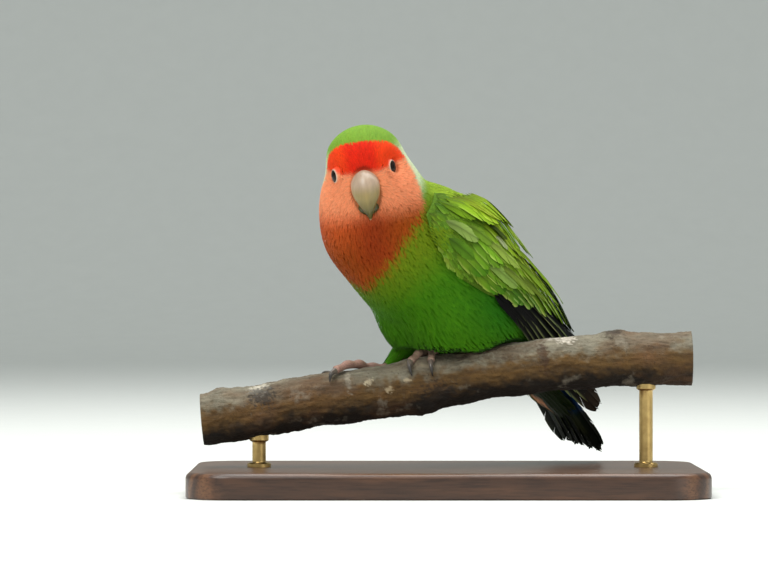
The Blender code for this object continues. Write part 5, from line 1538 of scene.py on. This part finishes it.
def makePerch():
    rows, around = bark["rows"], bark["around"]
    x = np.linspace(-branch["half"], branch["half"], rows)[:, None] + np.zeros((1, around))
    turn = np.zeros((rows, 1)) + (np.arange(around) * 360.0 / around)[None, :]
    wave = 0.22 * np.sin(x * 0.31 + 2.0 * np.radians(turn)) + 0.16 * np.sin(x * 0.13 - np.radians(turn))
    under = np.abs((turn + 180.0) % 360.0 - 180.0) > 130.0
    quiet = np.clip((np.abs(x + 2.0) - 44.0) / 8.0, 0.0, 1.0)
    share = np.where(under, 1.0, quiet)
    knots, dark = knotBump(x, turn)
    flat = onBranch(x, turn, 0.0).reshape(-1, 3)
    around3 = np.stack((flat[:, 0] * 0.45, flat[:, 1], flat[:, 2] - branchHeight(flat[:, 0])), -1)
    coarse = noiseOf(around3, 0.22, 3).reshape(x.shape)
    fine = noiseOf(around3, 0.9, 3, 7.0).reshape(x.shape)
    swell = 0.0
    for swellX, swellTurn, radius, rise in bark["swells"]:
        swell = swell + rise * np.exp(-(((x - swellX) / radius) ** 2 + ((turn - swellTurn) / 34.0) ** 2))
    rough = np.minimum(bark["coarse"] * coarse + bark["fine"] * fine, 0.32) - 0.12
    points = onBranch(x, turn, swell + (wave + knots) * share + rough)
    ends, sawn, extra = [], bark["sawn"], len(bark["sawn"])
    for k, s in ((0, -1), (rows - 1, 1)):
        middle = points[k].mean(axis=0)
        ends.append([middle + (points[k] - middle) * r + np.array((s * d, 0, 0)) for r, d in sawn])
    grid = np.concatenate((np.array(ends[0])[::-1], points, np.array(ends[1])))
    cut = np.concatenate((np.ones(extra), np.zeros(rows), np.ones(extra)))
    shrink = [r for r, _ in sawn]
    rings = np.concatenate((shrink[::-1], np.ones(rows), shrink))
    verts, faces = closeRings(grid)

    m = Nodes("bark")
    tint = m.tint()
    wear = m.noise(0.09, 6.0, 0.62)
    streak = m.noise(0.5, 4.0, 0.6, stretch=(0.25, 1.0, 1.0))
    pits = m.noise(1.3, 3.0, 0.6)
    shade = m.ramp(streak, [(0.28, (0.50, 0.48, 0.44)), (0.5, (0.95, 0.94, 0.92)), (0.75, (1.35, 1.34, 1.3))])
    colour = m.mix(1.0, tint, shade, "MULTIPLY")
    colour = m.mix(m.ramp(wear, [(0.60, (0, 0, 0)), (0.70, (0.5, 0.5, 0.5))]), colour, paint(150, 142, 126))
    colour = m.mix(m.ramp(pits, [(0.60, (0, 0, 0)), (0.72, (0.6, 0.6, 0.6))]), colour, paint(48, 34, 22))
    m.set(Base_Color=colour, Roughness=0.86)
    m.set(Normal=m.bump(pits, 0.7, 0.5, m.bump(streak, 0.75, 0.9, m.bump(wear, 0.5, 1.1))))
    obj = addMesh("perch_bark", verts, faces, m.mat)
    longer = np.concatenate((np.full(extra, -branch["half"]), x[:, 0], np.full(extra, branch["half"])))
    gx = longer[:, None] + np.zeros((1, around))
    gt = np.zeros((rows + 2 * extra, 1)) + turn[:1]
    flat = np.stack((gx.ravel(), gt.ravel() * 0.16, 0 * gx.ravel()), -1)
    # painted light and shade: the bark is painted grey where it faces up, brown lower down and near black underneath
    top = np.cos(np.radians(gt - 12.0)).ravel() + 0.25 * noiseOf(flat, 0.25, 3)
    base = smoothMix(paint(24, 15, 5), paint(94, 68, 30), ramp(top, -0.55, 0.2))
    base = smoothMix(base, paint(124, 118, 102), ramp(top, 0.3, 0.85))
    angle = np.radians(gt).ravel()
    stained = np.stack((gx.ravel() * 0.03, np.cos(angle) * 0.5, np.sin(angle) * 0.5), -1)
    stain = noiseOf(stained, 1.0, 4) + 0.15
    base = smoothMix(base, paint(96, 66, 38), np.clip(stain, 0, 1) * 0.8)
    ragged = 0.9 * noiseOf(flat, 0.8, 3, 3.0)
    for markX, markTurn, reachX, reachTurn, mark, much in barkMarks:
        away = (gt - markTurn + 180.0) % 360.0 - 180.0
        far = np.hypot((gx - markX) / reachX, away / reachTurn).ravel()
        base = smoothMix(base, paint(*mark), much * (1.0 - ramp(far + ragged, 0.7, 1.15)))
    dark = np.concatenate((np.zeros((extra, around)), dark * share, np.zeros((extra, around)))).ravel()
    base = smoothMix(base, paint(40, 28, 18), 0.75 * dark)
    r = np.repeat(rings, around)
    wood = smoothMix(paint(196, 170, 128), paint(166, 132, 88), 0.5 + 0.5 * np.sin(r * 60))  # year rings
    wood = smoothMix(wood, paint(88, 66, 42), ramp(r, 0.9, 0.97))
    base = np.where(np.repeat(cut, around)[:, None] > 0, wood, base)
    addTint(obj, np.concatenate((base, base[:1], base[-1:])))
    places = gridMap(rows + 2 * extra, around)[:, ::-1]
    addMap(obj, "OFBake", np.concatenate((places, ((0.001, 0.5), (0.999, 0.5)))))
    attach(obj, "root")
    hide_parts("perch")
    print("perch")


makePerch()


# Stand: a flat wooden base and two slim rods

stand = {"length": 180.0, "depth": 114.0, "thick": 9.0, "corner": 16.0, "round": 2.2,
         "rods": (-66.0, 70.0), "rod": 2.4, "socket": 5.0, "collar": (4.2, 1.6)}


def makeStand():
    corner, edge = [], []
    reachX, reachY = (stand[k] / 2 - stand["corner"] for k in ("length", "depth"))
    for sx, sy, start in ((1, 1, 0), (-1, 1, 90), (-1, -1, 180), (1, -1, 270)):
        for k in range(17):
            turn = math.radians(start + 90.0 * k / 16)
            corner.append((sx * reachX, sy * reachY))
            edge.append((math.cos(turn), math.sin(turn)))
    corner, edge = np.array(corner), np.array(edge)
    r, thick, rings = stand["round"], stand["thick"], []
    profile = [(0.5, 0.0), (0.0, 0.5), (0.0, thick - r)]  # how far in from the edge, and the height
    bends = np.linspace(0.2, math.pi / 2, 7)
    profile += [(r * (1 - math.cos(a)), thick - r + r * math.sin(a)) for a in bends]
    profile += [(r + 3.0, thick), (stand["corner"], thick)]
    for inward, z in profile:
        flat = corner + edge * (stand["corner"] - inward)
        rings.append(np.concatenate((flat, np.full((len(flat), 1), z)), axis=1))
    points, faces = closeRings(np.array(rings))
    m = Nodes("stainedWood")
    where = m.add("ShaderNodeTexCoord").outputs["Object"]
    where = m.add("ShaderNodeMapping", {"Vector": where, "Scale": (0.12, 1.0, 1.0)}).outputs[0]
    waves = {"Vector": where, "Scale": 55.0, "Distortion": 5.0, "Detail": 3.0, "Detail Scale": 1.6}
    bands = m.add("ShaderNodeTexWave", waves, bands_direction="Y").outputs["Fac"]
    pores = m.noise(1.4, 4.0, 0.6, stretch=(0.06, 1.0, 1.0))
    tone = m.noise(0.02, 3.0)
    grain = m.ramp(bands, [(0.0, paint(66, 42, 28)), (0.6, paint(104, 68, 44)), (1.0, paint(120, 82, 54))])
    dark = m.ramp(pores, [(0.34, (0.55, 0.52, 0.5)), (0.55, (1.0, 1.0, 1.0))])
    colour = m.mix(1.0, m.mix(m.math("MULTIPLY", tone, 0.5), grain, paint(74, 46, 30)), dark, "MULTIPLY")
    m.set(Base_Color=colour, Roughness=0.38, Coat_Weight=0.25, Coat_Roughness=0.25)
    m.set(Normal=m.bump(pores, 0.18, 0.15))
    base = addMesh("stand_base_wood", points, faces, m.mat)
    base.data.set_sharp_from_angle(angle=math.radians(40))
    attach(base, "root")
    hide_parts("stand_base")

    m = Nodes("brushedBrass")
    brush = m.noise(2.5, 3.0, 0.6, stretch=(1.0, 1.0, 0.04))
    spots = m.noise(0.3, 4.0)
    m.set(Base_Color=m.ramp(spots, [(0.3, paint(176, 146, 92)), (0.7, paint(206, 176, 116))]), Metallic=1.0)
    m.set(Roughness=m.math("MULTIPLY_ADD", brush, 0.25, 0.2), Normal=m.bump(brush, 0.15, 0.05))
    for name, x in zip(("stand_rod_left", "stand_rod_right"), stand["rods"]):
        top = float(branchHeight(x)) - branch["radius"]
        low, high, rod = thick - stand["socket"], top + stand["socket"], stand["rod"]
        wide, tall = stand["collar"]
        over = thick + tall
        profile = [(rod, low), (rod, thick - 0.02), (wide, thick + 0.02), (wide, thick + tall * 0.7),
                   (wide - 0.5, over), (rod + 0.1, over + 0.1), (rod, over + 0.3)]
        profile += [(rod, z) for z in np.linspace(over + 0.6, top - 1.9, 8)]
        profile += [(rod + 0.1, top - 1.7), (wide - 1.2, top - 1.5), (wide - 0.8, top - 1.1),
                    (wide - 0.8, top + 0.6), (rod, top + 0.7), (rod, high)]
        turns, ones = np.arange(56) * (2.0 * math.pi / 56), np.ones(56)
        rings = [np.stack((x + r * np.cos(turns), r * np.sin(turns), z * ones), -1) for r, z in profile]
        points, faces = closeRings(np.array(rings))
        obj = addMesh(name + "_brass", points, faces, m.mat)
        obj.data.set_sharp_from_angle(angle=math.radians(35))
        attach(obj, "root")
        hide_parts(name)
    print("stand")


makeStand()
